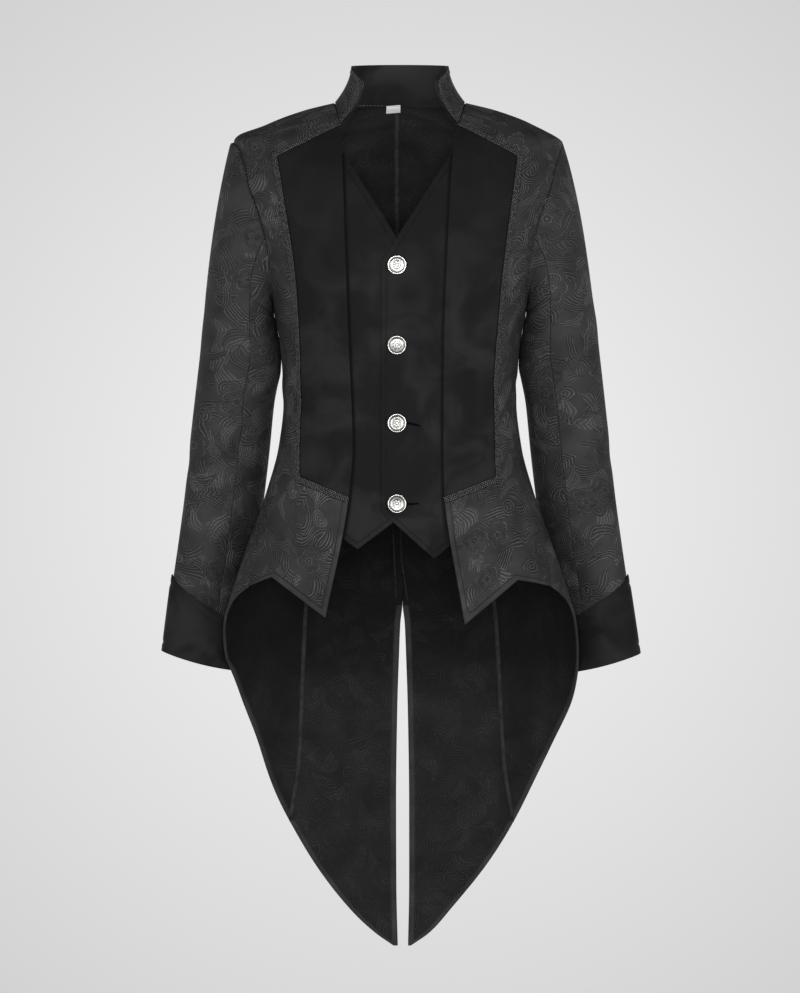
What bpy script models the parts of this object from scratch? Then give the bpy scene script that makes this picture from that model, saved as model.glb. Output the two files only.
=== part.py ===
"""Formal tailcoat, filled out as worn: cutaway fronts over a waistcoat front, stand collar and two tails.

Metres, +Z up. The front faces -Y and the wearer's left is +X. The origin is at the base of the neck, level
with the points where the shoulder seams meet the collar, and heights are given as drops below it.
Every panel is a wall of cloth on one surface, the body surface, or on a sleeve's.
"""

import bmesh
import bpy
import numpy as np

# Cloth and seams
CLOTH = 0.0020
COLLAR_CLOTH = 0.0015
WAISTCOAT_CLOTH = 0.0016
SEAM_GAP = 0.0004
LAYER_GAP = 0.0006

# Steps of the panels' grids. Down a front the two long edges are counted alike: yoke, armhole, side and flap
# on one, shoulder, armhole, side seam and hem on the other.
INSET_COLUMNS = 8
ARMHOLE_STEPS = 12
PRINCESS_START = 6
SIDE_STEPS = 8
HIP_STEPS = 4
FRONT_COLUMNS_ACROSS = 5
HEM_STEPS_BEHIND = 10
TAIL_STEPS = 7
BACK_COLUMNS = 5

# Meshing: points nearer than this are one, edges bent by more degrees than this look sharp, and a panel's
# edge moves in by no more than this share of its outermost row or column
SAME_POINT = 2e-6
SHARP_ANGLE = 50
MOST_DRAWN_IN = 0.3

# The body surface, a ring for each drop. The side is where a ring is widest, front and back are its depths
# from there, and a squareness of 2 is an ellipse.
BODY_COLUMNS = ("drop", "half_width", "side_y", "front", "back", "squareness")
BODY_RINGS = (
    (0.000, 0.0880, 0.000, 0.034, 0.066, 2.0),
    (0.010, 0.1280, 0.000, 0.046, 0.071, 2.0),
    (0.028, 0.1760, 0.000, 0.062, 0.079, 2.0),
    (0.054, 0.2188, 0.000, 0.086, 0.092, 2.1),
    (0.108, 0.2208, 0.000, 0.113, 0.112, 2.3),
    (0.155, 0.2080, 0.000, 0.125, 0.120, 2.4),
    (0.202, 0.1925, 0.000, 0.131, 0.121, 2.4),
    (0.264, 0.1714, 0.000, 0.131, 0.116, 2.4),
    (0.330, 0.1600, 0.000, 0.124, 0.106, 2.3),
    (0.400, 0.1560, -0.002, 0.115, 0.102, 2.3),
    (0.458, 0.1620, -0.006, 0.112, 0.112, 2.2),
    (0.519, 0.1780, -0.014, 0.111, 0.134, 2.1),
    (0.599, 0.2060, -0.027, 0.109, 0.166, 2.0),
    (0.690, 0.2340, -0.036, 0.110, 0.188, 2.0),
    (0.800, 0.2520, -0.038, 0.112, 0.196, 2.0),
    (0.950, 0.2680, -0.038, 0.114, 0.198, 2.0),
    (1.150, 0.2840, -0.036, 0.116, 0.194, 2.0),
)

# Armhole, a loop on the body surface round the end of the shoulder
ARMHOLE_TOP = 0.0536
ARMHOLE_BOTTOM = 0.264
ARMHOLE_TURN = 0.50

# Edges and seams of the fronts as half widths seen from the front, one column for each side of the wearer
FRONT_COLUMNS = ("drop", "right", "left")
NECK_FRONT = (0.0321, 0.0800, 0.0780)
NECK_BEND = 1.5
YOKE_CORNER = (0.0740, 0.1670, 0.1600)
INSET_SIDE = (
    YOKE_CORNER,
    (0.2700, 0.1380, 0.1345),
    (0.3836, 0.1335, 0.1270),
    (0.4889, 0.1355, 0.1290),
    (0.5045, 0.1350, 0.1295),
)
INSET_END = (0.5320, 0.0680, 0.0585)
INSET_UNDERARM = 0.270
FRONT_EDGE = (
    NECK_FRONT,
    (0.0640, 0.0775, 0.0710),
    (0.2030, 0.0722, 0.0622),
    (0.3330, 0.0672, 0.0575),
    (0.4634, 0.0625, 0.0571),
    INSET_END,
)
# The flap's point and the notch beside it, as a drop and a half width
FLAP_POINT = {"right": (0.6871, 0.0982), "left": (0.6963, 0.0851)}
HEM_NOTCH = {"right": (0.6335, 0.1700), "left": (0.6374, 0.1560)}

# Side seam as a turn from the centre front in degrees
SIDE_SEAM = ((0.264, 90.0), (0.480, 89.0), (0.507, 86.5), (0.570, 76.5), (0.646, 65.0))
HIP = 0.507
SIDE_SEAM_END = 0.646
HEM_AT_SIDE = 0.690

# Hem of the tail behind the side, and the seam that divides it, with the same columns
HEM_CORNER = {"turn": 78.0, "drop": 0.664}
TAIL_HEM = (
    (0.7605, 0.2260, 0.2370),
    (0.8015, 0.2147, 0.2290),
    (0.8630, 0.1952, 0.2070),
    (0.9250, 0.1718, 0.1795),
    (0.9700, 0.1497, 0.1560),
    (1.0300, 0.1160, 0.1182),
    (1.0900, 0.0705, 0.0712),
    (1.1250, 0.0340, 0.0400),
    (1.1425, 0.0090, 0.0150),
)
PRINCESS_SEAM = (
    (0.2000, 0.1520, 0.1520),
    (0.2600, 0.1200, 0.1200),
    (0.3300, 0.0960, 0.0960),
    (0.4000, 0.0880, 0.0880),
    (0.5200, 0.1010, 0.1010),
    (0.6700, 0.1286, 0.1286),
    (0.8900, 0.1370, 0.1420),
    (0.9700, 0.1497, 0.1560),
)
PRINCESS_HIP = 0.636
PRINCESS_END = 0.970
TAIL_END = 1.1425

# Centre back seam, to the wearer's left, and half the width of the vent that opens below it. Each row of the
# centre back starts on this seam, a little lower than it ends by the shoulder.
CENTRE_DROP = ((0.0, 0.0), (0.0536, 0.060), (0.300, 0.300), (TAIL_END, TAIL_END))
CENTRE_BACK = (
    (0.000, -0.0045, 0.0),
    (0.250, -0.0040, 0.0),
    (0.450, 0.0000, 0.0),
    (0.672, 0.0034, 0.0),
    (0.700, 0.0035, 0.0029),
    (0.745, 0.0035, 0.0048),
    (0.820, 0.0035, 0.0072),
    (0.950, 0.0036, 0.0089),
    (1.060, 0.0038, 0.0087),
    (TAIL_END, 0.0040, 0.0070),
)

# Waistcoat fronts. Each has its V edge and its lap edge, its points below, and a side hidden by the coat.
WAISTCOAT_TOP = 0.052
V_EDGE_AT_TOP = {"right": -0.0865, "left": 0.0800}
LAP_EDGE = {"right": 0.0120, "left": -0.0250}
V_BOTTOM = {"right": 0.2120, "left": 0.2187}
LAP_END = {"right": 0.5450, "left": 0.5464}
WAISTCOAT_POINT = {"right": (0.5957, -0.0567), "left": (0.6082, 0.0447)}
WAISTCOAT_SIDE = ((0.052, 0.1130), (0.200, 0.1060), (0.400, 0.0980), (0.565, 0.1000))
LAP_GAP = 0.0010
WAISTCOAT_STEPS = {"v_edge": 7, "lap_edge": 11, "to_point": 4, "from_point": 3}
WAISTCOAT_DEPTH = {"right": CLOTH + WAISTCOAT_CLOTH + 2 * LAP_GAP, "left": CLOTH + LAP_GAP}

# Stand collar: its top edge runs from the front tip through the corner to the back
COLLAR_TIP = (0.0490, -0.0450, 0.0255)
COLLAR_CORNER = (0.0650, -0.0180, 0.0465)
COLLAR_TOP_SIDE = (0.0655, 0.0060, 0.0500)
COLLAR_TOP_BACK = (0.0000, 0.0620, 0.0560)
COLLAR_FLARE = 1.8
COLLAR_RISE = 0.0006
COLLAR_INSET = 0.0006
COLLAR_CHAMFER_STEPS = 3
COLLAR_BACK_STEPS = 8
COLLAR_ROWS = 5
NECK_CENTRE = (0.0, 0.004, 0.0)

# Sleeve, a ring for each row between an outer and an inner point
SLEEVE_COLUMNS = ("out_x", "out_drop", "out_y", "in_x", "in_drop", "in_y", "half_depth")
SLEEVE_RINGS = (
    (0.2188, 0.0536, 0.000, 0.1714, 0.264, 0.000, 0.066),
    (0.2345, 0.1080, 0.001, 0.1725, 0.273, 0.001, 0.069),
    (0.2440, 0.1570, 0.002, 0.1718, 0.280, 0.003, 0.068),
    (0.2520, 0.2130, 0.003, 0.1685, 0.290, 0.006, 0.065),
    (0.2595, 0.2700, 0.004, 0.1652, 0.304, 0.010, 0.061),
    (0.2680, 0.3380, 0.006, 0.1595, 0.346, 0.016, 0.057),
    (0.2747, 0.3960, 0.009, 0.1690, 0.404, 0.024, 0.053),
    (0.2815, 0.4560, 0.013, 0.1755, 0.466, 0.034, 0.049),
    (0.2880, 0.5170, 0.018, 0.1830, 0.528, 0.046, 0.046),
    (0.2965, 0.5790, 0.024, 0.1915, 0.592, 0.060, 0.044),
    (0.3070, 0.6500, 0.030, 0.2020, 0.666, 0.076, 0.043),
    (0.3185, 0.7345, 0.036, 0.2130, 0.763, 0.092, 0.043),
)
SLEEVE_ROWS = 20
RING_STEPS = 24
ARMHOLE_STEP_IN = 0.03
FOREARM_SEAM = 7
HEAD_BLEND = 0.28
# How much fuller a sleeve is on its outer side, for each side of the wearer
FULLNESS = ((0.00, 0.0, 0.0), (0.04, 0.0075, 0.0), (0.20, 0.0045, 0.0), (0.45, 0.0022, 0.0), (0.80, 0.0, 0.0))
SLEEVE_FOLDS = (
    {"along": 0.50, "round": 2.0, "slope": 0.035, "length": 0.030, "spread": 0.55, "height": -0.0030},
    {"along": 0.58, "round": 1.7, "slope": -0.030, "length": 0.026, "spread": 0.50, "height": 0.0024},
    {"along": 0.83, "round": 1.5, "slope": 0.045, "length": 0.022, "spread": 0.60, "height": 0.0026},
    {"along": 0.78, "round": 1.1, "slope": 0.050, "length": 0.020, "spread": 0.45, "height": -0.0022},
    {"along": 0.36, "round": 4.4, "slope": 0.030, "length": 0.030, "spread": 0.60, "height": -0.0028},
)

# Where the sleeve's own cloth ends and where the cuff lies, as shares of the sleeve's length
SLEEVE_END = 0.992
CUFF_TOP_OUT = 0.8875
CUFF_TOP_IN = 0.9490
CUFF_TOP_BEND = 0.6
CUFF_BOTTOM = 1.0
CUFF_PROUD = 0.0030
# How far a cuff's bottom edge goes below the sleeve's last ring, out to the side with it, and how much more
# it bows down in front and behind
CUFF_LONGER = {"right": 0.0010, "left": 0.0045}
CUFF_SPREAD = {"right": 0.0, "left": 0.0025}
CUFF_BOW = 0.0035
CUFF_ROWS = 5

# Braid: shares of its width from its middle, or from the collar's edge, and the heights there
BRAID_WIDTH = 0.0090
BRAID_SECTION = ((-0.5, 0.0008), (-0.3, 0.0018), (0.0, 0.0018), (0.3, 0.0018), (0.5, 0.0008))
MITRE_LIMIT = 0.6
COLLAR_BRAID_WIDTH = 0.0092
COLLAR_BRAID_SECTION = ((0.04, 0.0007), (0.3, 0.0014), (0.7, 0.0014), (1.0, 0.0007))

# Buttons, as drops on the waistcoat's lap
BUTTON_DROPS = (0.2226, 0.3279, 0.4306, 0.5368)
BUTTON_X = -0.0040
BUTTON_RADIUS = 0.0125
BUTTON_DOME = 0.0046
BUTTON_RIM = 0.0018
BUTTON_SHELL = ((0.95, 0.0), (1.0, 0.5), (0.96, 1.25), (0.88, 1.35))
DOME_SHARE = 0.80
DOME_ANGLES = (0, 25, 50, 72)
BUTTON_SIDES = 16
SHANK_RADIUS = 0.0020
SHANK_LENGTH = 0.0018
BUTTONHOLE_LENGTH = 0.0180
BUTTONHOLE_WIDTH = 0.0012
EYE_SIDES = 10
EYE_MOUTH = 20

# Neck label
LABEL_LEFT = -0.0192
LABEL_RIGHT = 0.0006
LABEL_LENGTH = 0.0108
LABEL_CLOTH = 0.0006
LABEL_DEPTH = 0.0034
LABEL_ROWS = 2
LABEL_COLUMNS = 3

COLOURS = {
    "brocade": ((0.035, 0.035, 0.036), 0.62, 0.0),
    "velvet": ((0.010, 0.010, 0.010), 0.90, 0.0),
    "braid": ((0.045, 0.045, 0.046), 0.75, 0.0),
    "silver": ((0.80, 0.80, 0.81), 0.28, 1.0),
    "tape": ((0.78, 0.78, 0.78), 0.85, 0.0),
}


def smooth_curve(knots, values, at):
    """A smooth curve through the knots that never swings past them (monotone cubic)."""
    knots = np.asarray(knots, float)
    values = np.asarray(values, float)
    at = np.clip(np.asarray(at, float), knots[0], knots[-1])
    step = np.diff(knots)
    rise = np.diff(values) / step
    slope = np.zeros(len(knots))
    slope[0] = rise[0]
    slope[-1] = rise[-1]
    before, after = rise[:-1], rise[1:]
    same_way = before * after > 0
    weight_a = 2 * step[1:] + step[:-1]
    weight_b = step[1:] + 2 * step[:-1]
    safe_before = np.where(same_way, before, 1.0)
    safe_after = np.where(same_way, after, 1.0)
    mean = (weight_a + weight_b) / (weight_a / safe_before + weight_b / safe_after)
    slope[1:-1] = np.where(same_way, mean, 0.0)
    i = np.clip(np.searchsorted(knots, at, side="right") - 1, 0, len(step) - 1)
    t = (at - knots[i]) / step[i]
    start = (1 + 2 * t) * (1 - t) ** 2 * values[i] + t * (1 - t) ** 2 * step[i] * slope[i]
    end = t**2 * (3 - 2 * t) * values[i + 1] + t**2 * (t - 1) * step[i] * slope[i + 1]
    return start + end


def column(table, index):
    return [row[index] for row in table]


def body_size(name, drop):
    """One column of the body's ring table at these drops."""
    index = BODY_COLUMNS.index(name)
    return smooth_curve(column(BODY_RINGS, 0), column(BODY_RINGS, index), drop)


def body_at(turn, drop, out=0.0):
    """Points of the body surface, turned from the centre front towards the wearer's left, moved out."""
    turn, drop = np.broadcast_arrays(np.asarray(turn, float), np.asarray(drop, float))

    def on_surface(t, d):
        power = 2.0 / body_size("squareness", d)
        across = np.sign(np.sin(t)) * np.abs(np.sin(t)) ** power
        ahead = np.sign(np.cos(t)) * np.abs(np.cos(t)) ** power
        depth = np.where(ahead > 0, body_size("front", d), body_size("back", d))
        x = body_size("half_width", d) * across
        return np.stack([x, body_size("side_y", d) - depth * ahead, -d], axis=-1)

    point = on_surface(turn, drop)
    if np.all(np.asarray(out) == 0):
        return point
    nudge = 1e-3
    round_it = on_surface(turn + nudge, drop) - on_surface(turn - nudge, drop)
    down_it = on_surface(turn, drop + nudge) - on_surface(turn, np.maximum(drop - nudge, 0))
    normal = np.cross(down_it, round_it)
    normal /= np.linalg.norm(normal, axis=-1, keepdims=True)
    return point + normal * np.asarray(out)[..., None]


def turn_of(x, drop, behind=False):
    """The turn at which the body surface has this half width, in front or behind."""
    share = np.clip(np.asarray(x) / body_size("half_width", drop), -1, 1)
    power = body_size("squareness", drop) / 2
    turn = np.arcsin(np.sign(share) * np.abs(share) ** power)
    return np.pi - turn if behind else turn


def between(start, end, steps):
    return np.linspace(start, end, steps + 1)


def joined(*paths):
    """Paths end to end, each without the first point of the one after it repeated."""
    rest = [path[1:] for path in paths[1:]]
    return np.concatenate([paths[0], *rest])


def path(turn, drop):
    turn, drop = np.broadcast_arrays(turn, drop)
    return np.stack([turn, drop], axis=-1)


def line_in_view(start, end, steps, behind=False):
    """A line that looks straight from the front, as turns and drops on the body surface."""
    drop = between(start[0], end[0], steps)
    x = between(start[1], end[1], steps)
    return path(turn_of(x, drop, behind), drop)


def curve_in_view(rows, drops, behind=False):
    x = smooth_curve(column(rows, 0), column(rows, 1), drops)
    return path(turn_of(x, drops, behind), drops)


def filled(top, bottom, near, far):
    """A grid between four edges (a Coons patch): rows run down the near and far edges."""
    rows, columns = len(near), len(top)
    v = np.linspace(0, 1, rows)[:, None, None]
    u = np.linspace(0, 1, columns)[None, :, None]
    down = (1 - v) * top[None] + v * bottom[None]
    across = (1 - u) * near[:, None] + u * far[:, None]
    corners = (1 - v) * ((1 - u) * top[0] + u * top[-1]) + v * ((1 - u) * bottom[0] + u * bottom[-1])
    return down + across - corners


def ruled(near, far, columns):
    """A grid whose rows run straight from the near edge to the far edge."""
    u = np.linspace(0, 1, columns + 1)[None, :, None]
    return (1 - u) * near[:, None] + u * far[:, None]


def drawn_in(grid, gap):
    """The grid with its four edges moved in by this gap, each towards the next row or column."""
    grid = grid.copy()

    def pull(edge, beside):
        step = beside - edge
        size = np.linalg.norm(step, axis=-1, keepdims=True)
        return edge + step / np.maximum(size, 1e-9) * np.minimum(gap, MOST_DRAWN_IN * size)

    first, last = pull(grid[0], grid[1]), pull(grid[-1], grid[-2])
    grid[0], grid[-1] = first, last
    left, right = pull(grid[:, 0], grid[:, 1]), pull(grid[:, -1], grid[:, -2])
    grid[:, 0], grid[:, -1] = left, right
    return grid


def material(name):
    found = bpy.data.materials.get(name)
    if found:
        return found
    colour, roughness, metallic = COLOURS[name]
    made = bpy.data.materials.new(name)
    made.use_nodes = True
    made.diffuse_color = (*colour, 1)
    shader = made.node_tree.nodes["Principled BSDF"]
    shader.inputs["Base Color"].default_value = (*colour, 1)
    shader.inputs["Roughness"].default_value = roughness
    shader.inputs["Metallic"].default_value = metallic
    return made


def add_object(name, mesh, cloth):
    mesh.materials.append(material(cloth))
    mesh.shade_smooth()
    mesh.set_sharp_from_angle(angle=np.radians(SHARP_ANGLE))
    made = bpy.data.objects.new(name, mesh)
    bpy.context.scene.collection.objects.link(made)
    return made


def solid(name, cloth, points, faces):
    """An object from points and faces, closed where points meet, with its faces turned out."""
    form = bmesh.new()
    corners = [form.verts.new(point) for point in points]
    for face in faces:
        form.faces.new([corners[i] for i in face])
    bmesh.ops.remove_doubles(form, verts=form.verts, dist=SAME_POINT)
    bmesh.ops.triangulate(form, faces=form.faces)
    bmesh.ops.recalc_face_normals(form, faces=form.faces)
    if form.calc_volume(signed=True) < 0:
        bmesh.ops.reverse_faces(form, faces=form.faces)
    mesh = bpy.data.meshes.new(name)
    form.to_mesh(mesh)
    form.free()
    return add_object(name, mesh, cloth)


def wall(name, cloth, outer, inner, closed=False):
    """Cloth between two grids of points. A closed wall goes all the way round and is open at its two ends."""
    rows, columns = outer.shape[:2]
    points = np.concatenate([outer.reshape(-1, 3), inner.reshape(-1, 3)])
    number = np.arange(2 * rows * columns).reshape(2, rows, columns)
    across = [(i, (i + 1) % columns) for i in range(columns if closed else columns - 1)]
    faces = []
    for r in range(rows - 1):
        for a, b in across:
            faces.append((number[0, r, a], number[0, r, b], number[0, r + 1, b], number[0, r + 1, a]))
            faces.append((number[1, r, b], number[1, r, a], number[1, r + 1, a], number[1, r + 1, b]))
    for a, b in across:
        faces.append((number[0, 0, b], number[0, 0, a], number[1, 0, a], number[1, 0, b]))
        faces.append((number[0, -1, a], number[0, -1, b], number[1, -1, b], number[1, -1, a]))
    if not closed:
        for r in range(rows - 1):
            faces.append((number[0, r, 0], number[0, r + 1, 0], number[1, r + 1, 0], number[1, r, 0]))
            faces.append((number[0, r + 1, -1], number[0, r, -1], number[1, r, -1], number[1, r + 1, -1]))
    return solid(name, cloth, points, faces)


def facing(side):
    """+1 for the wearer's left, -1 for the right."""
    return 1 if side == "left" else -1


def mirrored(points, side):
    return points * np.array([facing(side), 1, 1])


def body_panel(name, cloth, grid, side, depth=0.0, thick=CLOTH):
    """A wall on the body surface over a grid of turns and drops, its outside this far below the surface."""
    turn, drop = grid[..., 0], grid[..., 1]
    outer = drawn_in(body_at(turn, drop, -depth), SEAM_GAP / 2)
    inner = drawn_in(body_at(turn, drop, -depth - thick), SEAM_GAP / 2)
    return wall(name, cloth, mirrored(outer, side), mirrored(inner, side))


def armhole(angle, behind=False):
    """The armhole loop: the angle runs from the shoulder, in front or behind, down to the underarm."""
    middle = (ARMHOLE_TOP + ARMHOLE_BOTTOM) / 2
    half = (ARMHOLE_BOTTOM - ARMHOLE_TOP) / 2
    way = 1 if behind else -1
    return path(np.pi / 2 + way * ARMHOLE_TURN * np.sin(angle), middle - half * np.cos(angle))


def shoulder_seam():
    return path(np.pi / 2, between(0, ARMHOLE_TOP, INSET_COLUMNS))


def side_seam():
    drop = joined(between(ARMHOLE_BOTTOM, HIP, SIDE_STEPS), between(HIP, SIDE_SEAM_END, HIP_STEPS))
    return path(np.radians(smooth_curve(column(SIDE_SEAM, 0), column(SIDE_SEAM, 1), drop)), drop)


def front_row(row, side):
    """A drop and the half width on this side, from a row with a column for each side."""
    return row[0], row[FRONT_COLUMNS.index(side)]


def inset_edges(side):
    """The seams of the velvet inset: along the yoke, down the side and along the flap's top."""
    rows = [front_row(row, side) for row in INSET_SIDE]
    neck = front_row(NECK_FRONT, side)
    drops = joined(
        between(rows[0][0], INSET_UNDERARM, ARMHOLE_STEPS), between(INSET_UNDERARM, rows[-1][0], SIDE_STEPS)
    )
    yoke = line_in_view(neck, rows[0], INSET_COLUMNS)
    down = curve_in_view(rows, drops)
    flap = line_in_view(rows[-1], front_row(INSET_END, side), INSET_COLUMNS)
    return yoke, down, flap


def front_hem(side):
    """The zigzag hem from the side seam to the notch and the flap's point."""
    notch, point = HEM_NOTCH[side], FLAP_POINT[side]
    to_notch = between(side_seam()[-1], (turn_of(notch[1], notch[0]), notch[0]), 1)
    return joined(to_notch, line_in_view(notch, point, INSET_COLUMNS - HIP_STEPS - 1))


def neck_front(side):
    """The neck seam of a front, from its front end up to the shoulder seam."""
    front_drop, front_x = front_row(NECK_FRONT, side)
    drop = front_drop * np.linspace(1, 0, FRONT_COLUMNS_ACROSS + 1) ** NECK_BEND
    neck_half_width = body_size("half_width", 0.0)
    x = neck_half_width + (front_x - neck_half_width) * drop / front_drop
    return path(turn_of(x, drop), drop)


def make_front(side):
    """The brocade front: yoke, side strip and flap in one, round three sides of the velvet inset.
    Its first row bends to the neck seam, and the rows after it straighten by the yoke's corner."""
    near = joined(*inset_edges(side))
    round_armhole = armhole(between(0, np.pi, ARMHOLE_STEPS))
    far = joined(shoulder_seam(), round_armhole, side_seam(), front_hem(side))
    grid = ruled(near, far, FRONT_COLUMNS_ACROSS)
    to_corner = np.clip(1 - np.arange(len(near)) / INSET_COLUMNS, 0, 1)[:, None, None]
    grid = grid + (neck_front(side) - grid[0]) * to_corner**2
    body_panel(f"front_{side}", "brocade", grid, side)


def make_velvet_panel(side):
    yoke, down, flap = inset_edges(side)
    rows = [front_row(row, side) for row in FRONT_EDGE]
    share = (down[:, 1] - down[0, 1]) / (down[-1, 1] - down[0, 1])
    drops = rows[0][0] + share * (rows[-1][0] - rows[0][0])
    edge = curve_in_view(rows, drops)
    edge[0], edge[-1] = yoke[0], flap[-1]
    grid = filled(yoke, flap[::-1], edge, down)
    body_panel(f"velvet_panel_{side}", "velvet", grid, side)


def make_braid_front(side):
    """Braid laid over the seam round the inset, crowned across and mitred at the corners."""
    route = joined(*inset_edges(side))
    middle = body_at(route[:, 0], route[:, 1])
    above = body_at(route[:, 0], route[:, 1], 1.0) - middle
    outer, inner = braid_strip(middle, above)
    wall(f"braid_front_{side}", "braid", mirrored(outer, side), mirrored(inner, side))


def braid_strip(middle, above):
    """The two faces of a braid along a line of points: its width lies square to the line and to the cloth."""
    ahead = np.zeros_like(middle)
    step = np.diff(middle, axis=0)
    step /= np.linalg.norm(step, axis=1, keepdims=True)
    ahead[0], ahead[-1] = step[0], step[-1]
    ahead[1:-1] = step[:-1] + step[1:]
    ahead /= np.linalg.norm(ahead, axis=1, keepdims=True)
    mitre = np.ones((len(middle), 1))
    mitre[1:-1, 0] = 1 / np.maximum((ahead[1:-1] * step[:-1]).sum(axis=1), MITRE_LIMIT)
    beside = np.cross(ahead, above) * mitre
    across, height = np.array(BRAID_SECTION).T[:, :, None]
    flat = middle[:, None] + beside[:, None] * across * BRAID_WIDTH
    inner = flat + above[:, None] * LAYER_GAP
    outer = inner + above[:, None] * height
    return outer, inner


def princess_seam(side):
    """The back's shaping seam, from the armhole down into the tail."""
    start = armhole(np.array([np.pi * PRINCESS_START / ARMHOLE_STEPS]), behind=True)[0]
    x_start = body_at(start[0], start[1])[0]
    rows = ((start[1], x_start), *(front_row(row, side) for row in PRINCESS_SEAM))
    upper = between(start[1], PRINCESS_HIP, SIDE_STEPS + HIP_STEPS)
    drops = joined(upper, between(upper[-1], PRINCESS_END, HEM_STEPS_BEHIND))
    return curve_in_view(rows, drops, behind=True)


def tail_hem(side, start_drop, end_drop, steps):
    rows = [front_row(row, side) for row in TAIL_HEM]
    return curve_in_view(rows, between(start_drop, end_drop, steps), behind=True)


def make_back_side(side):
    """The side back, from the armhole to its part of the tail, where it ends in a point on the hem."""
    seam = side_seam()
    turn, drop = seam[-1]
    corner = [np.radians(HEM_CORNER["turn"]), HEM_CORNER["drop"]]
    hem_start = np.array([[turn, drop], corner, [np.pi / 2, HEM_AT_SIDE]])
    behind = tail_hem(side, TAIL_HEM[0][0], PRINCESS_END, HEM_STEPS_BEHIND - len(hem_start))
    near = joined(seam, hem_start, np.concatenate([hem_start[-1:], behind]))
    angles = between(np.pi, np.pi * PRINCESS_START / ARMHOLE_STEPS, ARMHOLE_STEPS - PRINCESS_START)
    top = armhole(angles, behind=True)
    far = princess_seam(side)
    bottom = np.repeat(far[-1:], len(top), axis=0)
    near[-1] = far[-1]
    body_panel(f"back_side_{side}", "brocade", filled(top, bottom, near, far), side)


def make_back_centre(side):
    """The centre back with its tail, from the neck and shoulder to the tip."""
    angles = between(0, np.pi * PRINCESS_START / ARMHOLE_STEPS, PRINCESS_START)
    far = joined(
        shoulder_seam(),
        armhole(angles, behind=True),
        princess_seam(side),
        tail_hem(side, PRINCESS_END, TAIL_END, TAIL_STEPS),
    )
    drop = np.interp(far[:, 1], column(CENTRE_DROP, 0), column(CENTRE_DROP, 1))
    knots = column(CENTRE_BACK, 0)
    seam_x = smooth_curve(knots, column(CENTRE_BACK, 1), drop)
    half_gap = smooth_curve(knots, column(CENTRE_BACK, 2), drop)
    near = path(turn_of(facing(side) * seam_x + half_gap, drop, behind=True), drop)
    body_panel(f"back_centre_{side}", "brocade", ruled(near, far, BACK_COLUMNS), side)


def make_waistcoat(side):
    """A waistcoat front under the coat: the V, the lap edge, and a point below that goes up under a flap."""
    steps = WAISTCOAT_STEPS
    way = facing(side)
    lap = LAP_EDGE[side] * way
    v_edge = line_in_view((WAISTCOAT_TOP, V_EDGE_AT_TOP[side] * way), (V_BOTTOM[side], lap), steps["v_edge"])
    lap_edge = line_in_view((V_BOTTOM[side], lap), (LAP_END[side], lap), steps["lap_edge"])
    near = joined(v_edge, lap_edge)
    point_drop, point_x = WAISTCOAT_POINT[side]
    side_end = WAISTCOAT_SIDE[-1]
    down = line_in_view((LAP_END[side], lap), (point_drop, point_x * way), steps["to_point"])
    up = line_in_view((point_drop, point_x * way), side_end, steps["from_point"])
    bottom = joined(down, up)
    far = curve_in_view(WAISTCOAT_SIDE, between(WAISTCOAT_TOP, side_end[0], len(near) - 1))
    top = line_in_view((WAISTCOAT_TOP, V_EDGE_AT_TOP[side] * way), WAISTCOAT_SIDE[0], len(bottom) - 1)
    grid = filled(top, bottom, near, far)
    depth = WAISTCOAT_DEPTH[side]
    return body_panel(f"waistcoat_{side}", "velvet", grid, side, depth, WAISTCOAT_CLOTH)


def neck_seam():
    """The neck seam as points from the wearer's right front round the back to the left front."""
    half = {}
    for side in ("right", "left"):
        seam = neck_front(side)
        ahead = body_at(seam[:, 0], seam[:, 1])
        behind = body_at(between(np.pi / 2, np.pi, COLLAR_BACK_STEPS), 0.0)
        half[side] = mirrored(joined(ahead, behind), side)
    return joined(half["right"], half["left"][::-1])


def collar_top():
    """The collar's top edge: up the slanted corner, then round the back on an ellipse."""
    tip, corner = np.array(COLLAR_TIP), np.array(COLLAR_CORNER)
    side, back = np.array(COLLAR_TOP_SIDE), np.array(COLLAR_TOP_BACK)
    chamfer = between(tip, corner, COLLAR_CHAMFER_STEPS)
    along = between(corner, side, FRONT_COLUMNS_ACROSS - COLLAR_CHAMFER_STEPS)
    angle = between(0, np.pi / 2, COLLAR_BACK_STEPS)[:, None]
    behind = side * [1, 0, 0] * np.cos(angle) + (back - side) * [0, 1, 1] * np.sin(angle) + side * [0, 1, 1]
    half = joined(chamfer, along, behind)
    return joined(half * [-1, 1, 1], half[::-1])


def collar_surface(share):
    """Rows of the collar's outside, from its base at 0 to its top edge at 1, flared at the base."""
    base = neck_seam()
    inward = (np.array(NECK_CENTRE) - base) * [1, 1, 0]
    inward /= np.linalg.norm(inward, axis=1, keepdims=True)
    base = base + inward * COLLAR_INSET + [0, 0, COLLAR_RISE]
    top = collar_top()
    share = np.asarray(share)[:, None, None]
    flat = top + (base - top) * (1 - share) ** COLLAR_FLARE
    level = base + (top - base) * share
    return flat * [1, 1, 0] + level * [0, 0, 1]


def grid_normals(points):
    """Unit normals of a grid of points, by the right hand from its rows to its columns."""
    normal = np.cross(np.gradient(points, axis=0), np.gradient(points, axis=1))
    return normal / np.linalg.norm(normal, axis=-1, keepdims=True)


def make_collar():
    """The stand collar's two layers, brocade outside and velvet inside, joined round their edges."""
    face = collar_surface(np.linspace(0, 1, COLLAR_ROWS))
    out = grid_normals(face)
    if out[0, len(out[0]) // 2, 1] < 0:
        out = -out
    middle = COLLAR_CLOTH + SEAM_GAP
    wall("collar_outer", "brocade", face, face - out * COLLAR_CLOTH)
    wall("collar_inner", "velvet", face - out * middle, face - out * (middle + COLLAR_CLOTH))
    return face, out


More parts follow.
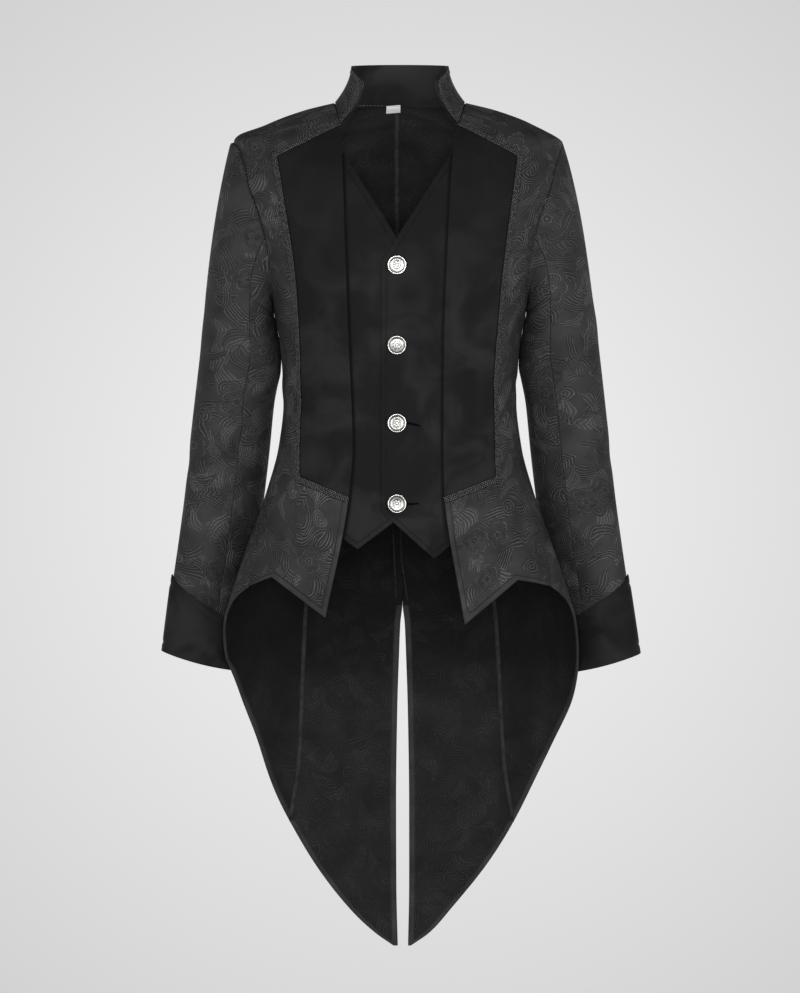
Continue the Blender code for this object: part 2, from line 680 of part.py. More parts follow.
def make_braid_collar(side, face, out):
    """Braid up the collar's front edge, round the tip and along the slanted corner."""
    chamfer = COLLAR_CHAMFER_STEPS
    order = slice(None) if side == "right" else slice(None, None, -1)
    face, out = face[:, order], out[:, order]
    edge = joined(face[:, 0], face[-1, : chamfer + 1])
    above = joined(out[:, 0], out[-1, : chamfer + 1])
    inner_edge = joined(face[:, 1], face[-2, : chamfer + 1])
    inner_edge[len(face) - 1] = face[-2, 1]
    into = inner_edge - edge
    into /= np.linalg.norm(into, axis=1, keepdims=True)
    across, height = np.array(COLLAR_BRAID_SECTION).T[:, :, None]
    flat = edge[:, None] + into[:, None] * across * COLLAR_BRAID_WIDTH
    under = flat + above[:, None] * LAYER_GAP
    wall(f"braid_collar_{side}", "braid", under + above[:, None] * height, under)


def sleeve_size(name, share):
    rows = np.linspace(0, 1, len(SLEEVE_RINGS))
    return smooth_curve(rows, column(SLEEVE_RINGS, SLEEVE_COLUMNS.index(name)), share)


def sleeve_at(share, angle, out=0.0, side="left"):
    """Points of the left sleeve: a share of its length from the armhole, and an angle from its outer side
    round by the front. Near the head its rings turn into the armhole's own loop. The right one is made here
    too, before it is mirrored, with its own fullness."""
    share, angle = np.broadcast_arrays(np.asarray(share, float), np.asarray(angle, float))

    def on_sleeve(s, a):
        outer = np.stack([sleeve_size("out_x", s), sleeve_size("out_y", s), -sleeve_size("out_drop", s)], -1)
        inner = np.stack([sleeve_size("in_x", s), sleeve_size("in_y", s), -sleeve_size("in_drop", s)], -1)
        centre = (outer + inner) / 2
        depth = sleeve_size("half_depth", s)[..., None]
        ring = centre + np.cos(a)[..., None] * (outer - inner) / 2
        ring = ring - np.sin(a)[..., None] * depth * [0, 1, 0]
        loop = armhole_points(a)[0]
        blend = np.clip(1 - s / HEAD_BLEND, 0, 1)[..., None] ** 2
        return ring + (loop - ring) * blend

    point = on_sleeve(share, angle)
    nudge = 2e-3
    along = on_sleeve(share + nudge, angle) - on_sleeve(np.maximum(share - nudge, 0), angle)
    around = on_sleeve(share, angle + nudge) - on_sleeve(share, angle - nudge)
    normal = np.cross(around, along)
    normal /= np.linalg.norm(normal, axis=-1, keepdims=True)
    fuller = smooth_curve(column(FULLNESS, 0), column(FULLNESS, FRONT_COLUMNS.index(side)), share)
    fuller = fuller * (1 + np.cos(angle)) / 2
    moved = normal * (np.asarray(out) + sleeve_folds(share, angle) + fuller)[..., None]
    way_in = armhole_points(angle)[1]
    against = np.minimum((moved * way_in).sum(axis=-1, keepdims=True), 0) * (share[..., None] == 0)
    return point + moved - way_in * against


def armhole_points(angle):
    """The sleeve's first ring: the armhole loop in space, a seam's gap into the hole, and the way into it."""
    turn = np.pi / 2 - ARMHOLE_TURN * np.sin(angle)
    middle = (ARMHOLE_TOP + ARMHOLE_BOTTOM) / 2
    drop = middle - (ARMHOLE_BOTTOM - ARMHOLE_TOP) / 2 * np.cos(angle)
    loop = body_at(turn, drop)
    nearer = body_at(turn + (np.pi / 2 - turn) * ARMHOLE_STEP_IN, drop + (middle - drop) * ARMHOLE_STEP_IN)
    way_in = nearer - loop
    way_in /= np.linalg.norm(way_in, axis=-1, keepdims=True)
    return loop + way_in * SEAM_GAP, way_in


def sleeve_folds(share, angle):
    """The sleeve's creases: each a soft ridge or trough, long across its slope."""
    total = np.zeros_like(share)
    for fold in SLEEVE_FOLDS:
        away = np.angle(np.exp(1j * (angle - fold["round"])))
        across = (share - fold["along"]) - fold["slope"] * away
        total += fold["height"] * np.exp(-((across / fold["length"]) ** 2) - (away / fold["spread"]) ** 2)
    return total


def make_sleeve(side):
    """The upper and under sleeve, which meet at the forearm seam and the hindarm seam."""
    step = 2 * np.pi / RING_STEPS
    seam = FOREARM_SEAM * step
    share = np.linspace(0, SLEEVE_END, SLEEVE_ROWS)[:, None]
    spans = {
        "upper": between(-seam, seam, 2 * FOREARM_SEAM),
        "under": between(seam, 2 * np.pi - seam, RING_STEPS - 2 * FOREARM_SEAM),
    }
    for part, angle in spans.items():
        outer = sleeve_at(share, angle[None], 0.0, side)
        inner = sleeve_at(share, angle[None], -CLOTH, side)
        outer, inner = drawn_in_sides(outer), drawn_in_sides(inner)
        wall(f"sleeve_{part}_{side}", "brocade", mirrored(outer, side), mirrored(inner, side))


def drawn_in_sides(grid):
    """The grid with its first and last column moved in by half a seam's gap."""
    grid = grid.copy()
    for edge, beside in ((0, 1), (-1, -2)):
        step = grid[:, beside] - grid[:, edge]
        grid[:, edge] += step / np.linalg.norm(step, axis=1, keepdims=True) * SEAM_GAP / 2
    return grid


def sleeve_lean():
    """How the sleeve leans at its end: the way from its last ring but one to the last, for a metre down."""
    ends = [dict(zip(SLEEVE_COLUMNS, row)) for row in SLEEVE_RINGS[-2:]]
    middles = [
        np.array([(end[f"out_{way}"] + end[f"in_{way}"]) / 2 for way in ("x", "y", "drop")]) for end in ends
    ]
    step = middles[1] - middles[0]
    return np.array([step[0], step[1], -step[2]]) / step[2]


def make_cuff(side):
    """The turned-up cuff, deepest on the outer side of the arm."""
    angle = np.arange(RING_STEPS) * 2 * np.pi / RING_STEPS
    to_inner = ((1 - np.cos(angle)) / 2) ** CUFF_TOP_BEND
    top = CUFF_TOP_OUT + (CUFF_TOP_IN - CUFF_TOP_OUT) * to_inner
    down = np.linspace(0, 1, CUFF_ROWS)[:, None]
    share = top + (CUFF_BOTTOM - top) * down
    lower = (CUFF_LONGER[side] + CUFF_BOW * np.sin(angle) ** 2) * down
    further = CUFF_SPREAD[side] * (1 + np.cos(angle)) / 2 * down
    moved = lower[..., None] * sleeve_lean() + further[..., None] * [1, 0, 0]
    under = sleeve_at(share, angle[None] + 0 * share, LAYER_GAP, side) + moved
    over = sleeve_at(share, angle[None] + 0 * share, CUFF_PROUD, side) + moved
    wall(f"cuff_{side}", "velvet", mirrored(over, side), mirrored(under, side), closed=True)


def turned(name, profile, centre, axis, sides):
    """A solid turned about an axis from a profile of radii and heights, closed at its two ends."""
    axis = axis / np.linalg.norm(axis)
    across = np.cross(axis, [0, 0, 1])
    across /= np.linalg.norm(across)
    up = np.cross(across, axis)
    angle = np.arange(sides) * 2 * np.pi / sides
    ring = np.cos(angle)[:, None] * across + np.sin(angle)[:, None] * up
    points = [centre + axis * profile[0][1]]
    for radius, height in profile[1:-1]:
        points.extend(centre + ring * radius + axis * height)
    points.append(centre + axis * profile[-1][1])
    faces = []
    last = len(points) - 1
    bands = len(profile) - 2
    for i in range(sides):
        j = (i + 1) % sides
        faces.append((0, 1 + i, 1 + j))
        faces.append((last, last - sides + j, last - sides + i))
        for band in range(bands - 1):
            low = 1 + band * sides
            faces.append((low + i, low + sides + i, low + sides + j, low + j))
    return solid(name, "silver", np.array(points), faces)


def button_profile():
    """Up the shank, out under the shell, over the rolled rim and across the dome."""
    shell = [(BUTTON_RADIUS * radius, BUTTON_RIM * height) for radius, height in BUTTON_SHELL]
    dome = [
        (BUTTON_RADIUS * DOME_SHARE * np.cos(t), BUTTON_RIM + (BUTTON_DOME - BUTTON_RIM) * np.sin(t))
        for t in np.radians(DOME_ANGLES)
    ]
    return [
        (0, -SHANK_LENGTH),
        (SHANK_RADIUS, -SHANK_LENGTH),
        (SHANK_RADIUS, 0),
        *shell,
        *dome,
        (0, BUTTON_DOME),
    ]


def make_button(number, drop):
    turn = turn_of(BUTTON_X, drop)
    surface = body_at(turn, drop, -WAISTCOAT_DEPTH["left"])
    axis = body_at(turn, drop, 1.0) - body_at(turn, drop)
    turned(f"button_{number}", button_profile(), surface + axis * LAYER_GAP, axis, BUTTON_SIDES)


def cut_buttonholes(front):
    """Slits through the lapped front, each with a round eye for its button's shank."""
    for number, drop in enumerate(BUTTON_DROPS, 1):
        turn = turn_of(BUTTON_X, drop)
        centre = body_at(turn, drop, -WAISTCOAT_DEPTH["left"] - WAISTCOAT_CLOTH / 2)
        eye = SHANK_RADIUS + SEAM_GAP
        angle = np.radians(between(EYE_MOUTH, 360 - EYE_MOUTH, EYE_SIDES))
        outline = [(eye * np.cos(a), eye * np.sin(a)) for a in angle]
        outline += [(BUTTONHOLE_LENGTH, -BUTTONHOLE_WIDTH / 2), (BUTTONHOLE_LENGTH, BUTTONHOLE_WIDTH / 2)]
        ring = np.array([(x, 0, z) for x, z in outline])
        reach = 2 * WAISTCOAT_CLOTH
        points = np.concatenate([ring + [0, -reach, 0], ring + [0, reach, 0]]) + centre
        count = len(outline)
        faces = [tuple(range(count)), tuple(range(2 * count - 1, count - 1, -1))]
        faces += [(i, i + count, (i + 1) % count + count, (i + 1) % count) for i in range(count)]
        cutter = solid(f"buttonhole_cutter_{number}", "velvet", points, faces)
        cutter.hide_render = True
        cutter.display_type = "WIRE"
        cut = front.modifiers.new(f"buttonhole {number}", "BOOLEAN")
        cut.operation = "DIFFERENCE"
        cut.solver = "EXACT"
        cut.object = cutter


def make_label():
    """A blank tape label inside the back of the neck, hanging from the collar seam."""
    drop = between(0, LABEL_LENGTH, LABEL_ROWS)[:, None]
    x = between(LABEL_LEFT, LABEL_RIGHT, LABEL_COLUMNS)[None]
    turn = turn_of(x, drop, behind=True)
    front = body_at(turn, drop + 0 * x, -LABEL_DEPTH)
    back = body_at(turn, drop + 0 * x, -LABEL_DEPTH - LABEL_CLOTH)
    wall("neck_label", "tape", front, back)


def main():
    for old in list(bpy.data.objects):
        bpy.data.objects.remove(old, do_unlink=True)
    for side in ("right", "left"):
        make_back_centre(side)
        make_back_side(side)
        make_front(side)
        make_velvet_panel(side)
        make_braid_front(side)
        make_sleeve(side)
        make_cuff(side)
    make_waistcoat("right")
    cut_buttonholes(make_waistcoat("left"))
    face, out = make_collar()
    for side in ("right", "left"):
        make_braid_collar(side, face, out)
    for number, drop in enumerate(BUTTON_DROPS, 1):
        make_button(number, drop)
    make_label()


main()
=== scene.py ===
"""The looks of a formal tailcoat, filled out as worn: its cloth, braid, buttons and stitching, in a plain
studio.

Metres, +Z up. The front faces -Y and the wearer's left is +X. The origin is at the base of the neck, and
heights are given as drops below it. Every panel is a thin shell of cloth on one of two surfaces, the body's
or a sleeve's, worked out from a table of rings, and stands for the node that it is named after.
"""

import bpy
import numpy as np
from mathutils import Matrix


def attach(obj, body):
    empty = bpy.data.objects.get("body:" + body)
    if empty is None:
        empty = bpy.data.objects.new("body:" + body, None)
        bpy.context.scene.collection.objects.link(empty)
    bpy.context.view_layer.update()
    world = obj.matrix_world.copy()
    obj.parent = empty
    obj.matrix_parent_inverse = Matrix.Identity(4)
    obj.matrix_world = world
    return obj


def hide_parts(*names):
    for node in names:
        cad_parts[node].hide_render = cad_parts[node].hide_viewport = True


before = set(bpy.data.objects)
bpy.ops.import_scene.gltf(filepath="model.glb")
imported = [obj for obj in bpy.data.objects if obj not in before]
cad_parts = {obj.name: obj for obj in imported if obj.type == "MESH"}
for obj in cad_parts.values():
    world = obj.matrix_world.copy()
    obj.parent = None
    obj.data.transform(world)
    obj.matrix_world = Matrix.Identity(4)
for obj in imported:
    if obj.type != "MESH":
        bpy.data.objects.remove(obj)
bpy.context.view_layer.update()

# Cloth
CLOTH = 0.0020
COLLAR_CLOTH = 0.0015
WAISTCOAT_CLOTH = 0.0016
LAYER_GAP = 0.0006
LAP_GAP = 0.0010
EDGE_ROUND = 0.0012
HEM_WIDTH = 0.0090
HEM_RISE = 0.0006
HEM_SLOPE = 0.0012
# No sheet's flat size is stated narrower than this
# Far enough from a hem for nothing to show of it, and where the row of stitches lies inside one
NO_HEM = 0.05
STITCH_LINE = HEM_WIDTH - 0.0010
# Where on its cloth each brocade panel is cut, across and along it
CUT_FROM = {
    "front_right": (-0.11, 0.31), "front_left": (0.03, 0.02),
    "back_side_right": (-0.05, 0.44), "back_side_left": (0.21, 0.12),
    "back_centre_right": (0.13, 0.27), "back_centre_left": (0.40, 0.05),
    "sleeve_upper_right": (0.74, 0.29), "sleeve_upper_left": (0.55, 0.10),
    "sleeve_under_right": (0.91, 0.52), "sleeve_under_left": (0.72, 0.33),
}

# Steps of the panels' grids, and where the rows and columns close inside each edge lie, in steps from it
FINE = 5
INSET_COLUMNS = 8 * FINE
ARMHOLE_STEPS = 12 * FINE
PRINCESS_START = 6 * FINE
SIDE_STEPS = 8 * FINE
HIP_STEPS = 4 * FINE
HEM_STEPS_BEHIND = 10 * FINE
TAIL_STEPS = 7 * FINE
FRONT_COLUMNS_ACROSS = 24
BACK_COLUMNS = 34
EDGE_STEPS = np.array([0.12, 0.3, 0.6])
FIRST_STEP = len(EDGE_STEPS) + 1
# How far a surface is tried beside a point for its slope there, and how near counts as reached
NUDGE = 1e-3

# The body surface, a ring for each drop. The side is where a ring is widest, front and back are its depths
# from there, and a squareness of 2 is an ellipse.
BODY_COLUMNS = ("drop", "half_width", "side_y", "front", "back", "squareness")
BODY_RINGS = (
    (0.000, 0.0880, 0.000, 0.034, 0.066, 2.0),
    (0.010, 0.1280, 0.000, 0.046, 0.071, 2.0),
    (0.028, 0.1760, 0.000, 0.062, 0.079, 2.0),
    (0.054, 0.2188, 0.000, 0.086, 0.092, 2.1),
    (0.108, 0.2208, 0.000, 0.113, 0.112, 2.3),
    (0.155, 0.2080, 0.000, 0.125, 0.120, 2.4),
    (0.202, 0.1925, 0.000, 0.131, 0.121, 2.4),
    (0.264, 0.1714, 0.000, 0.131, 0.116, 2.4),
    (0.330, 0.1600, 0.000, 0.124, 0.106, 2.3),
    (0.400, 0.1560, -0.002, 0.115, 0.102, 2.3),
    (0.458, 0.1620, -0.006, 0.112, 0.112, 2.2),
    (0.519, 0.1780, -0.014, 0.111, 0.134, 2.1),
    (0.599, 0.2060, -0.027, 0.109, 0.166, 2.0),
    (0.690, 0.2340, -0.036, 0.110, 0.188, 2.0),
    (0.800, 0.2520, -0.038, 0.112, 0.196, 2.0),
    (0.950, 0.2680, -0.038, 0.114, 0.198, 2.0),
    (1.150, 0.2840, -0.036, 0.116, 0.194, 2.0),
)

# Folds of the body's cloth: where each lies, as a turn from the centre front in degrees and a drop, its tilt
# from upright in degrees, how long and wide it is, and how far it stands out, or in where that is negative
FOLD_COLUMNS = ("side", "turn", "drop", "tilt", "length", "width", "height")
BODY_FOLDS = (
    ("left", 70, 0.335, 62, 0.045, 0.008, 0.0016),
    ("left", 64, 0.385, 74, 0.050, 0.009, -0.0018),
    ("left", 72, 0.430, 58, 0.040, 0.008, 0.0014),
    ("left", 100, 0.390, 70, 0.060, 0.010, -0.0022),
    ("left", 120, 0.350, 76, 0.055, 0.009, 0.0018),
    ("right", 68, 0.350, -66, 0.048, 0.008, 0.0016),
    ("right", 62, 0.400, -72, 0.050, 0.009, -0.0018),
    ("right", 98, 0.370, -64, 0.060, 0.010, 0.0020),
    ("right", 124, 0.410, -74, 0.055, 0.009, -0.0020),
    ("left", 40, 0.090, -38, 0.050, 0.014, -0.0014),
    ("right", 42, 0.095, 40, 0.050, 0.014, -0.0014),
    ("left", 22, 0.300, 4, 0.160, 0.020, 0.0014),
    ("left", 34, 0.360, -5, 0.140, 0.016, -0.0012),
    ("right", 24, 0.250, -4, 0.150, 0.018, 0.0013),
    ("right", 36, 0.330, 6, 0.130, 0.016, -0.0012),
    ("left", 50, 0.590, 14, 0.060, 0.014, 0.0022),
    ("right", 48, 0.600, -12, 0.060, 0.013, 0.0020),
    ("left", 112, 0.760, 10, 0.130, 0.022, 0.0050),
    ("left", 134, 0.830, 7, 0.180, 0.024, -0.0050),
    ("left", 152, 0.900, 4, 0.200, 0.022, 0.0040),
    ("left", 166, 0.800, 2, 0.200, 0.018, -0.0026),
    ("right", 108, 0.790, -11, 0.130, 0.022, 0.0046),
    ("right", 130, 0.860, -8, 0.180, 0.024, -0.0050),
    ("right", 149, 0.870, -4, 0.200, 0.022, 0.0042),
    ("right", 165, 0.930, -2, 0.180, 0.018, -0.0028),
    ("left", 140, 0.130, 66, 0.060, 0.014, -0.0020),
    ("right", 142, 0.140, -64, 0.060, 0.014, -0.0020),
    ("left", 150, 0.430, 82, 0.070, 0.012, 0.0020),
    ("right", 152, 0.450, -80, 0.070, 0.012, 0.0018),
    ("left", 158, 0.400, 84, 0.060, 0.010, -0.0018),
    ("right", 160, 0.410, -82, 0.060, 0.010, -0.0018),
    ("right", 177.4, 0.606, 2, 0.040, 0.0032, -0.0046),
    ("right", 176.4, 0.610, -3, 0.036, 0.0036, 0.0034),
    ("left", 177.6, 0.612, 4, 0.040, 0.0036, 0.0030),
    ("left", 177.6, 0.648, -24, 0.018, 0.0028, -0.0030),
    ("left", 4.6, 0.2222, 82, 0.011, 0.0034, -0.0008),
    ("left", 4.6, 0.3290, 84, 0.012, 0.0034, -0.0008),
    ("left", 5.0, 0.4300, 74, 0.015, 0.0036, -0.0015),
    ("left", 5.2, 0.4385, 70, 0.015, 0.0034, 0.0018),
    ("left", 5.0, 0.5366, 84, 0.014, 0.0036, -0.0015),
    ("left", 5.6, 0.5290, 96, 0.016, 0.0034, 0.0016),
    ("left", 1.7, 0.4516, 18, 0.010, 0.0040, -0.0012),
    ("right", 90, 0.0490, 0, 0.012, 0.060, 0.0046),
    ("left", 90, 0.0440, 0, 0.012, 0.060, -0.0013),
    ("right", 90, 0.2920, 0, 0.022, 0.030, 0.0014),
    ("left", 90, 0.2920, 0, 0.022, 0.030, 0.0014),
)
FOLD_REACH = 0.17

# Armhole, a loop on the body surface round the end of the shoulder
ARMHOLE_TOP = 0.0536
ARMHOLE_BOTTOM = 0.264
ARMHOLE_MIDDLE = (ARMHOLE_TOP + ARMHOLE_BOTTOM) / 2
ARMHOLE_TURN = 0.50

# Edges and seams of the fronts as half widths seen from the front, one column for each side of the wearer
FRONT_COLUMNS = ("drop", "right", "left")
NECK_FRONT = (0.0321, 0.0800, 0.0780)
NECK_BEND = 1.5
YOKE_CORNER = (0.0740, 0.1670, 0.1600)
INSET_SIDE = (
    YOKE_CORNER,
    (0.2700, 0.1380, 0.1345),
    (0.3836, 0.1335, 0.1270),
    (0.4889, 0.1355, 0.1290),
    (0.5045, 0.1350, 0.1295),
)
INSET_END = (0.5320, 0.0680, 0.0585)
INSET_UNDERARM = 0.270
FRONT_EDGE = (
    NECK_FRONT,
    (0.0640, 0.0775, 0.0710),
    (0.2030, 0.0722, 0.0622),
    (0.3330, 0.0672, 0.0575),
    (0.4634, 0.0625, 0.0571),
    INSET_END,
)
FLAP_POINT = {"right": (0.6871, 0.0982), "left": (0.6963, 0.0851)}
HEM_NOTCH = {"right": (0.6335, 0.1700), "left": (0.6374, 0.1560)}

# Side seam as a turn from the centre front in degrees, and the turn in front of which the front is hemmed
SIDE_SEAM = ((0.264, 90.0), (0.480, 89.0), (0.507, 86.5), (0.570, 76.5), (0.646, 65.0))
HIP = 0.507
SIDE_SEAM_END = 0.646
HEM_AT_SIDE = 0.690
FRONT_HEM_TURN = 65.5

# Hem of the tail behind the side, and the seam that divides it, with the same columns as the fronts
HEM_CORNER = {"turn": 78.0, "drop": 0.664}
TAIL_HEM = (
    (0.7605, 0.2260, 0.2370),
    (0.8015, 0.2147, 0.2290),
    (0.8630, 0.1952, 0.2070),
    (0.9250, 0.1718, 0.1795),
    (0.9700, 0.1497, 0.1560),
    (1.0300, 0.1160, 0.1182),
    (1.0900, 0.0705, 0.0712),
    (1.1250, 0.0340, 0.0400),
    (1.1425, 0.0090, 0.0150),
)
PRINCESS_SEAM = (
    (0.2000, 0.1520, 0.1520),
    (0.2600, 0.1200, 0.1200),
    (0.3300, 0.0960, 0.0960),
    (0.4000, 0.0880, 0.0880),
    (0.5200, 0.1010, 0.1010),
    (0.6700, 0.1286, 0.1286),
    (0.8900, 0.1370, 0.1420),
    (0.9700, 0.1497, 0.1560),
)
PRINCESS_HIP = 0.636
PRINCESS_END = 0.970
TAIL_END = 1.1425

# Centre back seam, to the wearer's left, and half the width of the vent that opens below it. Each row of the
# centre back starts on this seam, a little lower than it ends by the shoulder.
CENTRE_DROP = ((0.0, 0.0), (0.0536, 0.060), (0.300, 0.300), (TAIL_END, TAIL_END))
CENTRE_BACK = (
    (0.000, -0.0045, 0.0),
    (0.250, -0.0040, 0.0),
    (0.450, 0.0000, 0.0),
    (0.672, 0.0034, 0.0),
    (0.700, 0.0035, 0.0029),
    (0.745, 0.0035, 0.0048),
    (0.820, 0.0035, 0.0072),
    (0.950, 0.0036, 0.0089),
    (1.060, 0.0038, 0.0087),
    (TAIL_END, 0.0040, 0.0070),
)
VENT_TOP = 0.672

# Tape inside the centre back seam, and three pleats pressed above the vent. A pleat is a line between two
# points, each a drop and a half width to the wearer's left, and stands as a low ellipse with these half sizes.
TAPE_START = 0.004
TAPE_END = 0.570
PLEATS = (
    ((0.570, -0.0098), (0.666, -0.0052)),
    ((0.566, 0.0006), (0.612, 0.0022)),
    ((0.612, 0.0022), (0.668, 0.0100)),
)
PLEAT_FOLD = (0.0011, 0.0010)

# Waistcoat fronts. Each has its V edge and its lap edge, its points below, and a side hidden by the coat.
WAISTCOAT_TOP = 0.052
V_EDGE_AT_TOP = {"right": -0.0865, "left": 0.0800}
LAP_EDGE = {"right": 0.0120, "left": -0.0250}
V_BOTTOM = {"right": 0.2120, "left": 0.2187}
LAP_END = {"right": 0.5450, "left": 0.5464}
WAISTCOAT_POINT = {"right": (0.5957, -0.0567), "left": (0.6082, 0.0447)}
WAISTCOAT_SIDE = ((0.052, 0.1130), (0.200, 0.1060), (0.400, 0.0980), (0.565, 0.1000))
WAISTCOAT_STEPS = {"v_edge": 7 * FINE, "lap_edge": 11 * FINE, "to_point": 4 * FINE, "from_point": 3 * FINE}
WAISTCOAT_DEPTH = {"right": CLOTH + WAISTCOAT_CLOTH + 2 * LAP_GAP, "left": CLOTH + LAP_GAP}

# Stand collar: its top edge runs from the front tip through the corner to the back
COLLAR_TIP = (0.0490, -0.0450, 0.0255)
COLLAR_CORNER = (0.0650, -0.0180, 0.0465)
COLLAR_TOP_SIDE = (0.0655, 0.0060, 0.0500)
COLLAR_TOP_BACK = (0.0000, 0.0620, 0.0560)
COLLAR_FLARE = 1.8
COLLAR_RISE = 0.0006
COLLAR_INSET = 0.0006
COLLAR_TURN_IN = 0.0028
COLLAR_FRONT_STEPS = 20
COLLAR_CHAMFER_STEPS = 12
COLLAR_BACK_STEPS = 34
COLLAR_ROWS = 18
NECK_CENTRE = (0.0, 0.004, 0.0)

# Sleeve, a ring for each row between an outer and an inner point
SLEEVE_COLUMNS = ("out_x", "out_drop", "out_y", "in_x", "in_drop", "in_y", "half_depth")
SLEEVE_RINGS = (
    (0.2188, 0.0536, 0.000, 0.1714, 0.264, 0.000, 0.066),
    (0.2345, 0.1080, 0.001, 0.1725, 0.273, 0.001, 0.069),
    (0.2440, 0.1570, 0.002, 0.1718, 0.280, 0.003, 0.068),
    (0.2520, 0.2130, 0.003, 0.1685, 0.290, 0.006, 0.065),
    (0.2595, 0.2700, 0.004, 0.1652, 0.304, 0.010, 0.061),
    (0.2680, 0.3380, 0.006, 0.1595, 0.346, 0.016, 0.057),
    (0.2747, 0.3960, 0.009, 0.1690, 0.404, 0.024, 0.053),
    (0.2815, 0.4560, 0.013, 0.1755, 0.466, 0.034, 0.049),
    (0.2880, 0.5170, 0.018, 0.1830, 0.528, 0.046, 0.046),
    (0.2965, 0.5790, 0.024, 0.1915, 0.592, 0.060, 0.044),
    (0.3070, 0.6500, 0.030, 0.2020, 0.666, 0.076, 0.043),
    (0.3185, 0.7345, 0.036, 0.2130, 0.763, 0.092, 0.043),
)
# How much fuller a sleeve is on its outer side, for each side of the wearer
FULLNESS = (
    (0.000, 0.0, 0.0), (0.012, 0.0028, 0.0), (0.040, 0.0050, 0.0), (0.200, 0.0043, 0.0),
    (0.340, 0.0028, 0.0), (0.420, 0.0002, 0.0), (0.600, 0.0006, 0.0), (0.800, 0.0, 0.0),
)
SLEEVE_RADIUS = 0.053
SLEEVE_ROWS = 120
RING_STEPS = 96
FOREARM_SEAM = 28
# Near its head a sleeve's rings turn into the armhole's loop, over this share of its length, and nothing is
# moved outside that loop in the first rows
HEAD_BLEND = 0.28
HEAD_ROWS = 1.2
ARMHOLE_STEP_IN = 0.03
# The cloth of a sleeve ends just inside its cuff
SLEEVE_END = 0.992

# Creases of a sleeve: a share of its length, an angle round it from the outer side by the front, the slope of
# the crease, and how thick and how far round it is. Heights stand out, or in where negative.
CREASE_COLUMNS = ("along", "round", "slope", "length", "spread", "height")
SLEEVE_CREASES = (
    (0.50, 2.0, 0.035, 0.030, 0.55, -0.0030),
    (0.58, 1.7, -0.030, 0.026, 0.50, 0.0024),
    (0.83, 1.5, 0.045, 0.022, 0.60, 0.0026),
    (0.78, 1.1, 0.050, 0.020, 0.45, -0.0022),
    (0.36, 4.4, 0.030, 0.030, 0.60, -0.0028),
    (0.24, 2.3, -0.060, 0.014, 0.50, -0.0022),
    (0.29, 2.5, -0.050, 0.012, 0.45, 0.0016),
    (0.20, 4.0, 0.060, 0.014, 0.50, -0.0022),
    (0.46, 2.7, 0.030, 0.013, 0.50, 0.0016),
    (0.54, 2.4, -0.020, 0.012, 0.45, -0.0016),
    (0.62, 2.2, 0.040, 0.012, 0.40, 0.0012),
    (0.70, 1.9, -0.035, 0.012, 0.40, -0.0014),
    (0.88, 1.9, -0.040, 0.012, 0.40, -0.0016),
    (0.45, 5.0, -0.035, 0.014, 0.55, 0.0022),
    (0.52, 4.8, 0.030, 0.013, 0.50, -0.0022),
    (0.60, 5.2, -0.030, 0.012, 0.45, 0.0016),
    (0.74, 4.6, 0.035, 0.014, 0.50, -0.0018),
    (0.40, 0.2, 0.020, 0.030, 0.60, 0.0012),
    (0.66, 0.1, -0.020, 0.026, 0.50, -0.0014),
    (0.16, 3.14, 0.000, 0.080, 0.45, 0.0030),
    (0.31, 3.14, 0.000, 0.055, 0.45, 0.0010),
    (0.41, 3.14, 0.000, 0.035, 0.45, 0.0006),
)
CREASES_LOWER = {"right": 0.012, "left": 0.0}

# The turned-up cuff, as shares of the sleeve's length, and how far its bottom edge goes below the sleeve's
# last ring, out to the side with it, and how much more it bows down in front and behind
CUFF_TOP_OUT = 0.8875
CUFF_TOP_IN = 0.9490
CUFF_TOP_BEND = 0.6
CUFF_BOTTOM = 1.0
CUFF_LONGER = {"right": 0.0010, "left": 0.0045}
CUFF_SPREAD = {"right": 0.0, "left": 0.0025}
CUFF_BOW = 0.0035
CUFF_PROUD = 0.0030
CUFF_ROWS = 34
# Its grooves, as places from the top and from the bottom edge, depths and widths, and the swell of its cloth
CUFF_WELT = (0.0120, 0.0012, 0.0022)
CUFF_HEM = (0.0130, 0.0010, 0.0024)
CUFF_SWELL = 0.0010
CUFF_SWELL_RISE = 0.02
CUFF_SWELL_WAVES = 2.3
CUFF_SWELL_START = 0.7

# Braid: four cords plaited over a narrow tape. A cord is an ellipse with these half sizes, beside and
# up, that lies a share of its half height above the tape, swings to each side once a wave, and lifts
# where it passes over.
BRAID_WIDTH = 0.0094
BRAID_TAPE = 0.0005
BRAID_TAPE_COLUMNS = 7
BRAID_CORDS = 4
BRAID_CORD = (0.00062, 0.00034)
BRAID_BED = 0.7
BRAID_SWING = 0.0039
BRAID_LIFT = 0.0002
BRAID_WAVE = 0.0144
BRAID_WAVE_STEPS = 12
BRAID_TURN = 0.97
CORD_SIDES = 5
# The inset's braid is eased over corners in steps of this size, so many times. The collar's is narrower, and
# lies a share of its width inside the edge.
FRONT_BRAID_STEP = 0.0015
FRONT_BRAID_EASING = 4
COLLAR_BRAID_WIDTH = 0.0080
COLLAR_BRAID_INSET = 0.55
COLLAR_BRAID_STEP = 0.0012
COLLAR_BRAID_EASING = 6

# Buttons, as drops on the waistcoat's lap, with the length and sag of the hole that each is pulled through.
# The hole's thread stands a little above the velvet.
BUTTON_DROPS = (0.2226, 0.3279, 0.4306, 0.5368)
BUTTON_X = -0.0040
BUTTON_RADIUS = 0.0125
BUTTONHOLES = ((0.0140, 0.0003), (0.0140, 0.0003), (0.0310, 0.0036), (0.0285, -0.0006))
BUTTONHOLE_RISE = 0.0004
BUTTONHOLE_HALF_WIDTH = 0.0011
BUTTONHOLE_CORD = 0.0007
BUTTONHOLE_STEPS = 64
BUTTONHOLE_SIDES = 6

